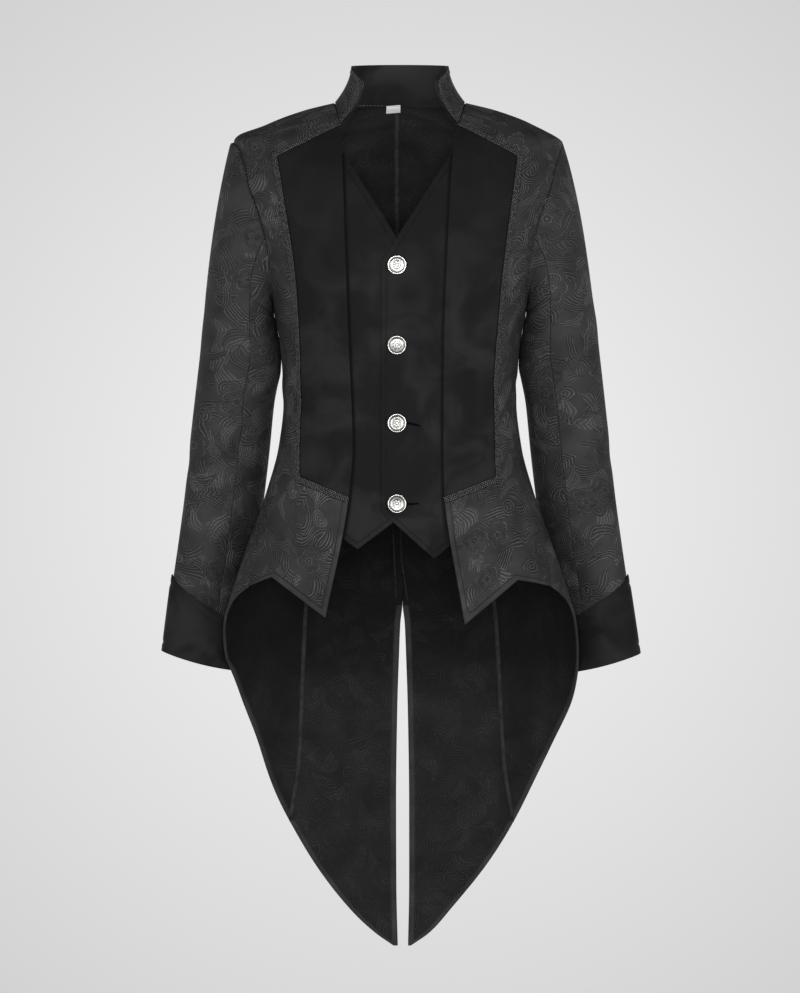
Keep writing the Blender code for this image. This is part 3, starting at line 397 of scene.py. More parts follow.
# A button's profile, from the middle of its face over the rim and the back to its shank, as shares of the
# radius and heights in metres, and how many of these points the face has. Each button is turned a little
# from the next.
BUTTON_PROFILE = (
    (0.00, 0.0046), (0.30, 0.0044), (0.55, 0.0038), (0.70, 0.0031), (0.76, 0.0027), (0.80, 0.0024),
    (0.83, 0.0025), (0.88, 0.0032), (0.93, 0.0035), (0.97, 0.0030), (1.00, 0.0019), (0.99, 0.0008),
    (0.94, 0.0), (0.50, 0.0), (0.18, 0.0), (0.16, -0.0018), (0.0, -0.0018),
)
BUTTON_FACE_POINTS = 5
BUTTON_RINGS = 40
BUTTON_SIDES = 96
BUTTON_TILT = 0.5

# The design on a button's face: heights in metres, and places as shares of the radius. The petals rise over a
# first stretch, reach out so far and, in their middles, so much further, and end over a last stretch.
PETALS = 8
PETAL_RISE = 0.00042
PETAL_SHARPNESS = 0.6
PETAL_START = (0.14, 0.22)
PETAL_REACH = (0.30, 0.20)
PETAL_END = 0.07
VEIN_DEPTH = 0.00022
VEIN_WIDTH = 0.5
VEIN_ENDS = (0.15, 0.5)
BOSS_RISE = 0.00040
BOSS_RADIUS = 0.13
BOSS_EDGE = 0.05
BEADS = 32
BEAD_RISE = 0.00036
BEAD_RING = 0.645
BEAD_SIZE = 0.045

# Neck label: its sides seen from the front, how far inside the cloth and above the neck seam it hangs, how
# far it drops for each metre across, and its curl and ripple in height, with the ripple's pace
LABEL_LEFT = -0.0192
LABEL_RIGHT = 0.0006
LABEL_LENGTH = 0.0108
LABEL_CLOTH = 0.0006
LABEL_DEPTH = 0.0062
LABEL_RISE = 0.0034
LABEL_SLOPE = -0.06
LABEL_CURL = 0.0014
LABEL_RIPPLE = 0.0002
LABEL_RIPPLE_PACE = 400
LABEL_GRID = (9, 15)

# Tape over the seams inside the back, as half its width and its rise
BINDING = (0.0034, 0.0013)
BINDING_SIDES = 10
BINDING_STEP = 0.005

# Sewing: how far apart stitches lie, how long each is, and half its thickness. A stitch is thinner towards
# its ends, given as places along it and shares of that thickness.
HEM_STITCH = (0.0030, 0.0021, 0.00032)
LABEL_STITCH = (0.0024, 0.0016, 0.00026)
BASTING_STITCH = (0.0052, 0.0040, 0.00034)
STITCH_SHAPE = ((-0.5, 0.15), (-0.36, 0.85), (0.0, 1.0), (0.36, 0.85), (0.5, 0.15))
STITCH_SIDES = 4


# Curves and surfaces

def smooth_curve(knots, values, at):
    """A smooth curve through the knots that never swings past them: a cubic on each stretch, whose slope at a
    knot is the weighted harmonic mean of the slopes on its two sides, or nothing where they differ in sign."""
    knots = np.asarray(knots, float)
    values = np.asarray(values, float)
    at = np.clip(np.asarray(at, float), knots[0], knots[-1])
    step = np.diff(knots)
    rise = np.diff(values) / step
    slope = np.zeros(len(knots))
    slope[0] = rise[0]
    slope[-1] = rise[-1]
    before, after = rise[:-1], rise[1:]
    same_way = before * after > 0
    weight_a = 2 * step[1:] + step[:-1]
    weight_b = step[1:] + 2 * step[:-1]
    safe_before = np.where(same_way, before, 1.0)
    safe_after = np.where(same_way, after, 1.0)
    mean = (weight_a + weight_b) / (weight_a / safe_before + weight_b / safe_after)
    slope[1:-1] = np.where(same_way, mean, 0.0)
    i = np.clip(np.searchsorted(knots, at, side="right") - 1, 0, len(step) - 1)
    t = (at - knots[i]) / step[i]
    start = (1 + 2 * t) * (1 - t) ** 2 * values[i] + t * (1 - t) ** 2 * step[i] * slope[i]
    end = t**2 * (3 - 2 * t) * values[i + 1] + t**2 * (t - 1) * step[i] * slope[i + 1]
    return start + end


def soft_step(value, low, high):
    """Nothing below low and one above high, with a smooth rise (3t^2 - 2t^3) between them."""
    t = np.clip((value - low) / (high - low), 0, 1)
    return t * t * (3 - 2 * t)


def column(table, index):
    """One column of a table."""
    return [row[index] for row in table]


def read_off(table, at, index=1):
    """The smooth curve through one column of a table, over its first."""
    return smooth_curve(column(table, 0), column(table, index), at)


def body_size(name, drop):
    """One column of the body's ring table at these drops."""
    return read_off(BODY_RINGS, drop, BODY_COLUMNS.index(name))


def body_folds(turn, drop, side):
    """The height of the folds: for each, its height times two bells, a long one along it and a narrow one
    across."""
    total = np.zeros(np.broadcast(turn, drop).shape)
    for row in BODY_FOLDS:
        fold = dict(zip(FOLD_COLUMNS, row))
        if fold["side"] == side:
            x = (turn - np.radians(fold["turn"])) * FOLD_REACH
            y = drop - fold["drop"]
            tilt = np.radians(fold["tilt"])
            along = y * np.cos(tilt) + x * np.sin(tilt)
            across = x * np.cos(tilt) - y * np.sin(tilt)
            total += fold["height"] * np.exp(-((along / fold["length"]) ** 2) - (across / fold["width"]) ** 2)
    return total


def body_at(turn, drop, out=0.0, side=None):
    """Points of the body surface, turned from the centre front towards the wearer's left. A ring is a
    superellipse: its width times sin(turn)^(2/squareness) and its depth times cos(turn)^(2/squareness). The
    points are moved out along the normal, and by the folds of the side that is given."""
    turn, drop = np.broadcast_arrays(np.asarray(turn, float), np.asarray(drop, float))

    def on_surface(t, d):
        power = 2.0 / body_size("squareness", d)
        across = np.sign(np.sin(t)) * np.abs(np.sin(t)) ** power
        ahead = np.sign(np.cos(t)) * np.abs(np.cos(t)) ** power
        depth = np.where(ahead > 0, body_size("front", d), body_size("back", d))
        x = body_size("half_width", d) * across
        return np.stack([x, body_size("side_y", d) - depth * ahead, -d], axis=-1)

    round_it = on_surface(turn + NUDGE, drop) - on_surface(turn - NUDGE, drop)
    down_it = on_surface(turn, drop + NUDGE) - on_surface(turn, np.maximum(drop - NUDGE, 0))
    normal = unit(np.cross(down_it, round_it))
    out = np.asarray(out) + (body_folds(turn, drop, side) if side else 0.0)
    return on_surface(turn, drop) + normal * out[..., None]


def turn_of(x, drop, behind=False):
    """The turn at which the body surface has this half width, in front or behind."""
    share = np.clip(np.asarray(x) / body_size("half_width", drop), -1, 1)
    power = body_size("squareness", drop) / 2
    turn = np.arcsin(np.sign(share) * np.abs(share) ** power)
    return np.pi - turn if behind else turn


def between(start, end, steps):
    """Values or points at so many even steps from the start to the end."""
    return np.linspace(start, end, steps + 1)


def joined(*paths):
    """Paths end to end, each without the first point of the one after it repeated."""
    return np.concatenate([paths[0], *(one[1:] for one in paths[1:])])


def path(turn, drop):
    """A line on the body surface, as a turn and a drop for each point."""
    turn, drop = np.broadcast_arrays(turn, drop)
    return np.stack([turn, drop], axis=-1)


def line_in_view(start, end, steps, behind=False):
    """A line that looks straight from the front, as turns and drops on the body surface."""
    drop = between(start[0], end[0], steps)
    x = between(start[1], end[1], steps)
    return path(turn_of(x, drop, behind), drop)


def curve_in_view(rows, drops, behind=False):
    """A smooth curve seen from the front, through rows of drops and half widths."""
    return path(turn_of(read_off(rows, drops), drops, behind), drops)


def filled(top, bottom, near, far):
    """A grid between four edges (a Coons patch): the blend of top and bottom plus the blend of near and far,
    less the blend of the four corners. Rows run down the near and far edges."""
    rows, columns = len(near), len(top)
    v = np.linspace(0, 1, rows)[:, None, None]
    u = np.linspace(0, 1, columns)[None, :, None]
    down = (1 - v) * top[None] + v * bottom[None]
    across = (1 - u) * near[:, None] + u * far[:, None]
    corners = (1 - v) * ((1 - u) * top[0] + u * top[-1]) + v * ((1 - u) * bottom[0] + u * bottom[-1])
    return down + across - corners


def ruled(near, far, columns):
    """A grid whose rows run straight from the near edge to the far edge."""
    u = between(0, 1, columns)[None, :, None]
    return (1 - u) * near[:, None] + u * far[:, None]


def facing(side):
    """+1 for the wearer's left, -1 for the right."""
    return 1 if side == "left" else -1


def mirrored(points, side):
    """Points worked out for the wearer's left, put on this side."""
    return points * np.array([facing(side), 1, 1])


def unit(vectors):
    """Each vector over its own length."""
    return vectors / np.maximum(np.linalg.norm(vectors, axis=-1, keepdims=True), 1e-12)


def all_round(steps):
    """Angles at even steps once round."""
    return np.arange(steps) * 2 * np.pi / steps


# Shells of cloth

def closer_at_edges(grid, axes=(0, 1)):
    """The grid with more rows and columns close inside its edges, each on the line between its neighbours."""
    for axis in axes:
        last = grid.shape[axis] - 1
        places = np.unique(np.concatenate([np.arange(last + 1), EDGE_STEPS, last - EDGE_STEPS]))
        low = np.minimum(places.astype(int), last - 1)
        share = (places - low).reshape([-1 if i == axis else 1 for i in range(grid.ndim)])
        before = np.take(grid, low, axis=axis)
        after = np.take(grid, low + 1, axis=axis)
        grid = before + (after - before) * share
    return grid


def lengths(points, axis):
    """How far each point lies along its row or column, as the sum of the steps before it."""
    step = np.linalg.norm(np.diff(points, axis=axis), axis=-1)
    start = np.zeros_like(np.take(points[..., 0], [0], axis=axis))
    return np.concatenate([start, np.cumsum(step, axis=axis)], axis=axis)


def edge_distances(middle, closed):
    """The distance of each point from each edge of its grid."""
    down = lengths(middle, 0)
    found = {"top": down, "bottom": down[-1:] - down}
    if not closed:
        across = lengths(middle, 1)
        found.update({"near": across, "far": across[:, -1:] - across})
    return found


def mesh_object(name, points, faces, finishes, which=None, place=None, distances=None):
    """An object from points and lists of corners. Each face has its finish, and each point its place on
    the flat cloth in metres, kept as the UV map, and its distances from the nearest hem and from an edge
    that lies over it."""
    mesh = bpy.data.meshes.new(name)
    mesh.from_pydata(points.tolist(), [], faces)
    for finish in finishes:
        mesh.materials.append(finish)
    if which is not None:
        mesh.polygons.foreach_set("material_index", which.astype(np.int32))
    if place is not None:
        layer = mesh.uv_layers.new(name="cloth")
        layer.data.foreach_set("uv", place[np.ravel(faces)].astype(np.float32).ravel())
    if distances is not None:
        for i, kind in enumerate(("from_hem", "from_cover")):
            attribute = mesh.attributes.new(kind, "FLOAT", "POINT")
            attribute.data.foreach_set("value", distances[:, i].astype(np.float32))
    mesh.shade_smooth()
    mesh.update()
    made = bpy.data.objects.new(name, mesh)
    bpy.context.scene.collection.objects.link(made)
    return made


def quads_of(number, closed):
    """The four corners of every face of a grid of point numbers."""
    if closed:
        number = np.concatenate([number, number[:, :1]], axis=1)
    corners = number[:-1, :-1], number[:-1, 1:], number[1:, 1:], number[1:, :-1]
    return np.stack(corners, axis=-1).reshape(-1, 4)


def tube_faces(number, first, last):
    """The faces of a tube from its rings of point numbers, with a fan about a point at each end."""
    start, end = number[0], number[-1]
    fans = np.concatenate([
        np.stack([np.roll(start, -1), start, np.full_like(start, first)], axis=-1),
        np.stack([end, np.roll(end, -1), np.full_like(end, last)], axis=-1),
    ])
    return quads_of(number, True).tolist() + fans.tolist()


def thin_shell(name, middle, normal, out, back, place, distances, finishes, closed=False):
    """A closed shell about a middle surface: one face is moved out along the normal, the other back against
    it, and they share the points of the edges, where neither is moved."""
    rows, columns = middle.shape[:2]
    edge = np.zeros((rows, columns), bool)
    edge[0], edge[-1] = True, True
    if not closed:
        edge[:, 0], edge[:, -1] = True, True
    outer = middle + normal * out[..., None]
    inner = middle - normal * back[..., None]
    number = np.arange(rows * columns).reshape(rows, columns)
    behind = number.copy()
    behind[~edge] = rows * columns + np.arange((~edge).sum())
    front = quads_of(number, closed)
    rear = quads_of(behind, closed)[:, ::-1]
    points = np.concatenate([outer.reshape(-1, 3), inner[~edge]])
    a, b, d = points[front[:, 0]], points[front[:, 1]], points[front[:, 3]]
    start_normal = normal[: rows - 1, : columns if closed else columns - 1].reshape(-1, 3)
    if (np.cross(b - a, d - a) * start_normal).sum() < 0:
        front, rear = front[:, ::-1], rear[:, ::-1]
    faces = np.concatenate([front, rear])
    which = np.repeat([0, 1], [len(front), len(rear)])
    flat_place = np.concatenate([place.reshape(-1, 2), place[~edge]])
    flat_distances = np.concatenate([distances.reshape(-1, 2), distances[~edge]])
    return mesh_object(name, points, faces.tolist(), finishes, which, flat_place, flat_distances)


def inside_edge(values, edge, distance):
    """The line on a grid that lies this far inside an edge, found along each of the rows or columns that
    leave it. The first three values at each point are its place, and the rest are carried along."""
    leaving = {
        "near": values,
        "far": values[:, ::-1],
        "top": values.swapaxes(0, 1),
        "bottom": values[::-1].swapaxes(0, 1),
    }[edge]
    run = lengths(leaving[..., :3], 1)
    return np.array([[np.interp(distance, r, carried) for carried in row.T] for r, row in zip(run, leaving)])


def hem_stitches(node, middle, normal, half, edges, hems, thread):
    """Rows of stitches a little inside the hemmed edges, on both faces, which stop where they meet another
    hem."""
    rows = []
    for edge, there in hems.items():
        other = [edges[name] + NO_HEM * (1 - hems[name]) for name in hems if name != edge]
        clear = np.minimum.reduce(other) if other else np.full_like(half, NO_HEM)
        extra = np.stack([clear, there + 0 * half, half], axis=-1)
        line = inside_edge(np.concatenate([middle, normal, extra], axis=-1), edge, STITCH_LINE)
        line = line[(line[:, 6] > STITCH_LINE) & (line[:, 7] > 0.5)]
        place, up, rise = line[:, :3], line[:, 3:6], line[:, 8:]
        if len(line) > 3:
            rows += [(place + way * up * rise, way * up) for way in (1, -1)]
    return [make_stitches(f"{node}_stitches", rows, thread)] if rows else []


def sewn(node, middle, normal, thick, place, finishes, hems=(), rises=(1.0, 1.0), closed=False,
         thread=None, trims=(), from_cover=NO_HEM):
    """A piece of cloth for a node. Its two faces come together over the edge's rounding as a quarter ellipse,
    and stand further apart along its stitched hems. Hems give, for an edge, where along it there is one."""
    edges = edge_distances(middle, closed)
    nearest = np.minimum.reduce(list(edges.values()))
    inside = np.clip(nearest / EDGE_ROUND, 0, 1)
    half = thick / 2 * np.sqrt(1 - (1 - inside) ** 2)
    band = np.zeros_like(nearest)
    from_hem = np.full_like(nearest, NO_HEM)
    for edge, there in dict(hems).items():
        from_hem = np.minimum(from_hem, edges[edge] + NO_HEM * (1 - there))
        band = np.maximum(band, there * soft_step(HEM_WIDTH - edges[edge], 0, HEM_SLOPE))
    ridge = HEM_RISE * band * inside
    piece = thin_shell(
        f"{node}_cloth", middle, normal, half + ridge * rises[0], half + ridge * rises[1],
        place, np.stack([from_hem, from_cover + 0 * from_hem], axis=-1), finishes, closed,
    )
    trims = list(trims)
    if thread and hems:
        trims += hem_stitches(node, middle, normal, half, edges, hems, thread)
    across = lengths(middle, 1)[:, -1]
    if closed:
        across = across + np.linalg.norm(middle[:, 0] - middle[:, -1], axis=-1)
    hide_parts(node)
    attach(piece, "root")


def trim(made):
    """A piece of trim, which rides on the coat."""
    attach(made, "root")
    return made


# The reach of the table of places on the flat cloth, and its size
PLACE_DROPS = (0.0, 1.16)
PLACE_TURNS = (-0.6, np.pi + 0.1)
PLACE_ROWS = 120
PLACE_COLUMNS = 160


def flat_place_table():
    """The body surface laid flat: for a grid of drops and turns, how far round from the side and how far
    down."""
    drop = np.linspace(*PLACE_DROPS, PLACE_ROWS)[:, None]
    turn = np.linspace(*PLACE_TURNS, PLACE_COLUMNS)[None]
    points = body_at(turn, drop)
    around, down = lengths(points, 1), lengths(points, 0)
    side = np.abs(turn[0] - np.pi / 2).argmin()
    return np.stack([around - around[:, side : side + 1], down], axis=-1)


FLAT_PLACES = flat_place_table()


def body_place(turn, drop):
    """Places on the flat cloth by bilinear look-up in the table."""
    row = (drop - PLACE_DROPS[0]) / (PLACE_DROPS[1] - PLACE_DROPS[0]) * (PLACE_ROWS - 1)
    col = (turn - PLACE_TURNS[0]) / (PLACE_TURNS[1] - PLACE_TURNS[0]) * (PLACE_COLUMNS - 1)
    r = np.clip(row.astype(int), 0, PLACE_ROWS - 2)
    c = np.clip(col.astype(int), 0, PLACE_COLUMNS - 2)
    v, u = (row - r)[..., None], (col - c)[..., None]
    upper = FLAT_PLACES[r, c] * (1 - u) + FLAT_PLACES[r, c + 1] * u
    lower = FLAT_PLACES[r + 1, c] * (1 - u) + FLAT_PLACES[r + 1, c + 1] * u
    return upper * (1 - v) + lower * v


def everywhere(turn, drop):
    """A hem all along an edge."""
    return np.ones((1, 1))


def body_panel(piece, grid, side, finish, depth=0.0, thick=CLOTH, hems=None, rises=(1.0, 1.0),
               thread=None, trims=(), cover=None):
    """A panel on the body surface over a grid of turns and drops, its outside this far below the surface.
    Hems say, for an edge, where along it there is one, rises how much of the hem stands up on each face, and
    cover is the edge that lies over the panel."""
    node = f"{piece}_{side}"
    grid = closer_at_edges(grid)
    turn, drop = grid[..., 0], grid[..., 1]
    middle = body_at(turn, drop, -depth - thick / 2, side)
    normal = unit(body_at(turn, drop, -depth, side) - middle)
    place = body_place(turn, drop) * [facing(side), 1] + CUT_FROM.get(node, (0.0, 0.0))
    there = {edge: find(turn, drop) * 1.0 for edge, find in (hems or {}).items()}
    from_cover = read_off(cover, drop) - middle[..., 0] if cover else NO_HEM
    middle, normal = mirrored(middle, side), mirrored(normal, side)
    sewn(
        node, middle, normal, thick, place, finish, there, rises,
        thread=thread, trims=trims, from_cover=from_cover,
    )


# Paths of the seams and edges

def armhole(angle, behind=False):
    """The armhole loop: the angle runs from the shoulder, in front or behind, down to the underarm."""
    half = (ARMHOLE_BOTTOM - ARMHOLE_TOP) / 2
    way = 1 if behind else -1
    return path(np.pi / 2 + way * ARMHOLE_TURN * np.sin(angle), ARMHOLE_MIDDLE - half * np.cos(angle))


def shoulder_seam():
    """The seam along the top of the shoulder, from the neck to the armhole."""
    return path(np.pi / 2, between(0, ARMHOLE_TOP, INSET_COLUMNS))


def side_seam():
    """The seam from the underarm over the hip to the front's hem."""
    drop = joined(between(ARMHOLE_BOTTOM, HIP, SIDE_STEPS), between(HIP, SIDE_SEAM_END, HIP_STEPS))
    return path(np.radians(read_off(SIDE_SEAM, drop)), drop)


def on_side(row, side):
    """A drop and the half width on this side, from a row with a column for each side."""
    return row[0], row[FRONT_COLUMNS.index(side)]


def inset_edges(side):
    """The seams of the velvet inset: along the yoke, down the side and along the flap's top."""
    rows = [on_side(row, side) for row in INSET_SIDE]
    neck = on_side(NECK_FRONT, side)
    upper = between(rows[0][0], INSET_UNDERARM, ARMHOLE_STEPS)
    drops = joined(upper, between(INSET_UNDERARM, rows[-1][0], SIDE_STEPS))
    yoke = line_in_view(neck, rows[0], INSET_COLUMNS)
    down = curve_in_view(rows, drops)
    flap = line_in_view(rows[-1], on_side(INSET_END, side), INSET_COLUMNS)
    return yoke, down, flap


def front_hem(side):
    """The zigzag hem from the side seam to the notch and the flap's point."""
    notch, point = HEM_NOTCH[side], FLAP_POINT[side]
    to_notch = between(side_seam()[-1], (turn_of(notch[1], notch[0]), notch[0]), FINE)
    return joined(to_notch, line_in_view(notch, point, INSET_COLUMNS - HIP_STEPS - FINE))


def neck_front(side, steps):
    """The neck seam of a front, from its front end up to the shoulder seam."""
    front_drop, front_x = on_side(NECK_FRONT, side)
    drop = front_drop * np.linspace(1, 0, steps + 1) ** NECK_BEND
    neck_half_width = body_size("half_width", 0.0)
    x = neck_half_width + (front_x - neck_half_width) * drop / front_drop
    return path(turn_of(x, drop), drop)


def front_edge(side, drops):
    """The coat's cutaway edge in front, at these drops."""
    return curve_in_view([on_side(row, side) for row in FRONT_EDGE], drops)


def princess_seam(side):
    """The back's shaping seam, from the armhole down into the tail."""
    start = armhole(np.array([np.pi * PRINCESS_START / ARMHOLE_STEPS]), behind=True)[0]
    x_start = body_at(start[0], start[1])[0]
    rows = ((start[1], x_start), *(on_side(row, side) for row in PRINCESS_SEAM))
    upper = between(start[1], PRINCESS_HIP, SIDE_STEPS + HIP_STEPS)
    drops = joined(upper, between(PRINCESS_HIP, PRINCESS_END, HEM_STEPS_BEHIND))
    return curve_in_view(rows, drops, behind=True)


def tail_hem(side, start_drop, end_drop, steps):
    """A stretch of the tail's hem behind, between two drops."""
    rows = [on_side(row, side) for row in TAIL_HEM]
    return curve_in_view(rows, between(start_drop, end_drop, steps), behind=True)


def side_hem(side):
    """The hem behind the side seam: down round the side and along the tail to the seam that divides it."""
    corner = [np.radians(HEM_CORNER["turn"]), HEM_CORNER["drop"]]
    start = np.array([side_seam()[-1], corner, [np.pi / 2, HEM_AT_SIDE]])
    share = np.linspace(0, 2, 2 * FINE + 1)
    first = np.stack([np.interp(share, [0, 1, 2], start[:, i]) for i in (0, 1)], axis=-1)
    behind = tail_hem(side, TAIL_HEM[0][0], PRINCESS_END, HEM_STEPS_BEHIND - 3 * FINE)
    bridge = between(first[-1], behind[0], FINE)
    return joined(first, bridge, behind)


def centre_edge(side, drop):
    """The centre back seam and the vent's edge below it, at these drops."""
    x = facing(side) * read_off(CENTRE_BACK, drop) + read_off(CENTRE_BACK, drop, 2)
    return path(turn_of(x, drop, behind=True), drop)


# Panels

def make_front(side, finish, thread):
    """The brocade front: yoke, side strip and flap in one, round three sides of the velvet inset."""
    near = joined(*inset_edges(side))
    round_armhole = armhole(between(0, np.pi, ARMHOLE_STEPS))
    far = joined(shoulder_seam(), round_armhole, side_seam(), front_hem(side))
    grid = ruled(near, far, FRONT_COLUMNS_ACROSS)
    to_corner = np.clip(1 - np.arange(len(near)) / INSET_COLUMNS, 0, 1)[:, None, None]
    grid = grid + (neck_front(side, FRONT_COLUMNS_ACROSS) - grid[0]) * to_corner**2
    hems = {
        "far": lambda turn, drop: (drop[:, -1:] > HEM_NOTCH[side][0] - NUDGE)
        & (turn[:, -1:] < np.radians(FRONT_HEM_TURN)),
        "bottom": everywhere,
    }
    body_panel("front", grid, side, finish, hems=hems, rises=(0.6, 1.0), thread=thread)


def make_velvet_panel(side, finish):
    """The velvet inset, from the yoke down to the flap, with the coat's front edge."""
    yoke, down, flap = inset_edges(side)
    share = (down[:, 1] - down[0, 1]) / (down[-1, 1] - down[0, 1])
    drops = NECK_FRONT[0] + share * (INSET_END[0] - NECK_FRONT[0])
    edge = front_edge(side, drops)
    edge[0], edge[-1] = yoke[0], flap[-1]
    grid = filled(yoke, flap[::-1], edge, down)
    body_panel("velvet_panel", grid, side, finish)


def seam_binding(name, route, side, finish, size=BINDING):
    """Narrow tape pressed over a seam on the cloth's reverse: a low ellipse carried along the seam."""
    middle = body_at(route[:, 0], route[:, 1], -CLOTH, side)
    inward = unit(body_at(route[:, 0], route[:, 1], -2 * CLOTH, side) - middle)
    centres, inward, _ = resampled(mirrored(middle, side), mirrored(inward, side), step=BINDING_STEP)
    _, beside, up = line_frame(centres, inward)
    return cords(name, [centres], [(beside, up)], size, BINDING_SIDES, finish)


def make_back_side(side, finish, thread, tape):
    """The side back, from the armhole to its part of the tail, where it ends in a point on the hem."""
    near = joined(side_seam(), side_hem(side))
    angles = between(np.pi, np.pi * PRINCESS_START / ARMHOLE_STEPS, ARMHOLE_STEPS - PRINCESS_START)
    top = armhole(angles, behind=True)
    far = princess_seam(side)
    bottom = np.repeat(far[-1:], len(top), axis=0)
    near[-1] = far[-1]
    grid = filled(top, bottom, near, far)
    hems = {"near": lambda turn, drop: drop[:, :1] > SIDE_SEAM_END - NUDGE}
    binding = seam_binding(f"side_back_binding_{side}", far[:-1], side, tape)
    body_panel("back_side", grid, side, finish, hems=hems, thread=thread, trims=[binding])


def make_back_centre(side, finish, thread, tape, pressed):
    """The centre back with its tail, from the neck and shoulder to the tip."""
    angles = between(0, np.pi * PRINCESS_START / ARMHOLE_STEPS, PRINCESS_START)
    far = joined(
        shoulder_seam(),
        armhole(angles, behind=True),
        princess_seam(side),
        tail_hem(side, PRINCESS_END, TAIL_END, TAIL_STEPS),
    )
    drop = np.interp(far[:, 1], column(CENTRE_DROP, 0), column(CENTRE_DROP, 1))
    grid = ruled(centre_edge(side, drop), far, BACK_COLUMNS)
    hems = {
        "near": lambda turn, drop: drop[:, :1] > VENT_TOP,
        "far": lambda turn, drop: drop[:, -1:] > PRINCESS_END - NUDGE,
        "bottom": everywhere,
    }
    trims = []
    pleats = [(start, end) for start, end in PLEATS if (start[1] + end[1] > 0) == (side == "left")]
    for i, pleat in enumerate(pleats, 1):
        ends = [(down, abs(x)) for down, x in pleat]
        route = line_in_view(*ends, BACK_COLUMNS, behind=True)
        trims.append(seam_binding(f"pleat_{side}_{i}", route, side, pressed, PLEAT_FOLD))
    if side == "left":
        route = centre_edge(side, between(TAPE_START, TAPE_END, 4 * BACK_COLUMNS))
        trims.append(seam_binding("centre_back_binding", route, side, tape))
    body_panel("back_centre", grid, side, finish, hems=hems, thread=thread, trims=trims)


def make_waistcoat(side, finish, thread):
    """A waistcoat front under the coat: the V edge and the lap edge, a pointed bottom that runs up under a
    flap, and a side that the coat hides."""
    steps = WAISTCOAT_STEPS
    way = facing(side)
    v_top = (WAISTCOAT_TOP, V_EDGE_AT_TOP[side] * way)
    v_bottom = (V_BOTTOM[side], LAP_EDGE[side] * way)
    lap_end = (LAP_END[side], LAP_EDGE[side] * way)
    point = (WAISTCOAT_POINT[side][0], WAISTCOAT_POINT[side][1] * way)
    near = joined(
        line_in_view(v_top, v_bottom, steps["v_edge"]),
        line_in_view(v_bottom, lap_end, steps["lap_edge"]),
    )
    bottom = joined(
        line_in_view(lap_end, point, steps["to_point"]),
        line_in_view(point, WAISTCOAT_SIDE[-1], steps["from_point"]),
    )
    far = curve_in_view(WAISTCOAT_SIDE, between(WAISTCOAT_TOP, WAISTCOAT_SIDE[-1][0], len(near) - 1))
    top = line_in_view(v_top, WAISTCOAT_SIDE[0], len(bottom) - 1)
    body_panel(
        "waistcoat", filled(top, bottom, near, far), side, finish,
        depth=WAISTCOAT_DEPTH[side], thick=WAISTCOAT_CLOTH,
        hems={"near": everywhere, "bottom": everywhere}, rises=(0.7, 0.3), thread=thread,
        cover=[*(on_side(row, side) for row in FRONT_EDGE), FLAP_POINT[side]],
    )


# Sleeves and cuffs

def sleeve_size(name, share):
    """One column of the sleeve's ring table, whose rings lie at even shares of its length."""
    rows = np.linspace(0, 1, len(SLEEVE_RINGS))
    return smooth_curve(rows, column(SLEEVE_RINGS, SLEEVE_COLUMNS.index(name)), share)


def armhole_points(angle, side):
    """The sleeve's first ring: the armhole loop in space, and the way into the hole."""
    loop = armhole(angle)
    nearer = loop + ([np.pi / 2, ARMHOLE_MIDDLE] - loop) * ARMHOLE_STEP_IN
    outer, inner = (body_at(ring[..., 0], ring[..., 1], 0.0, side) for ring in (loop, nearer))
    return outer, unit(inner - outer)


def sleeve_creases(share, angle):
    """Each crease is its height times two bells: across its sloping line, and round the sleeve."""
    total = np.zeros(np.broadcast(share, angle).shape)
    for row in SLEEVE_CREASES:
        crease = dict(zip(CREASE_COLUMNS, row))
        away = np.angle(np.exp(1j * (angle - crease["round"])))
        across = (share - crease["along"]) - crease["slope"] * away
        bell = np.exp(-((across / crease["length"]) ** 2) - (away / crease["spread"]) ** 2)
        total += crease["height"] * bell
    return total


def sleeve_at(share, angle, out=0.0, side="left"):
    """Points of the left sleeve: a share of its length from the armhole, and an angle from its outer side
    round by the front. Each ring is an ellipse between an outer and an inner point, and near the head the
    rings turn into the armhole's own loop. The right sleeve's creases lie a little further down."""
    share, angle = np.broadcast_arrays(np.asarray(share, float), np.asarray(angle, float))

    def on_sleeve(s, a):
        outer = np.stack([sleeve_size("out_x", s), sleeve_size("out_y", s), -sleeve_size("out_drop", s)], -1)
        inner = np.stack([sleeve_size("in_x", s), sleeve_size("in_y", s), -sleeve_size("in_drop", s)], -1)
        centre = (outer + inner) / 2
        depth = sleeve_size("half_depth", s)[..., None]
        ring = centre + np.cos(a)[..., None] * (outer - inner) / 2
        ring = ring - np.sin(a)[..., None] * depth * [0, 1, 0]
        loop = armhole_points(a, side)[0]
        blend = np.clip(1 - s / HEAD_BLEND, 0, 1)[..., None] ** 2
        return ring + (loop - ring) * blend

    beside = 2 * NUDGE
    along = on_sleeve(share + beside, angle) - on_sleeve(np.maximum(share - beside, 0), angle)
    around = on_sleeve(share, angle + beside) - on_sleeve(share, angle - beside)
    normal = unit(np.cross(around, along))
    fuller = read_off(FULLNESS, share, FRONT_COLUMNS.index(side)) * (1 + np.cos(angle)) / 2
    creases = sleeve_creases(share - CREASES_LOWER[side], angle)
    moved = normal * (np.asarray(out) + creases + fuller)[..., None]
    way_in = armhole_points(angle, side)[1]
    at_head = np.clip(1 - share * SLEEVE_ROWS / HEAD_ROWS, 0, 1)[..., None]
    against = np.minimum((moved * way_in).sum(axis=-1, keepdims=True), 0) * at_head
    return on_sleeve(share, angle) + moved - way_in * against


def ring_middle(row):
    """The middle of a ring of the sleeve, half way between its outer and its inner point."""
    ring = dict(zip(SLEEVE_COLUMNS, row))
    x, y, drop = ((ring[f"out_{way}"] + ring[f"in_{way}"]) / 2 for way in ("x", "y", "drop"))
    return np.array([x, y, -drop])


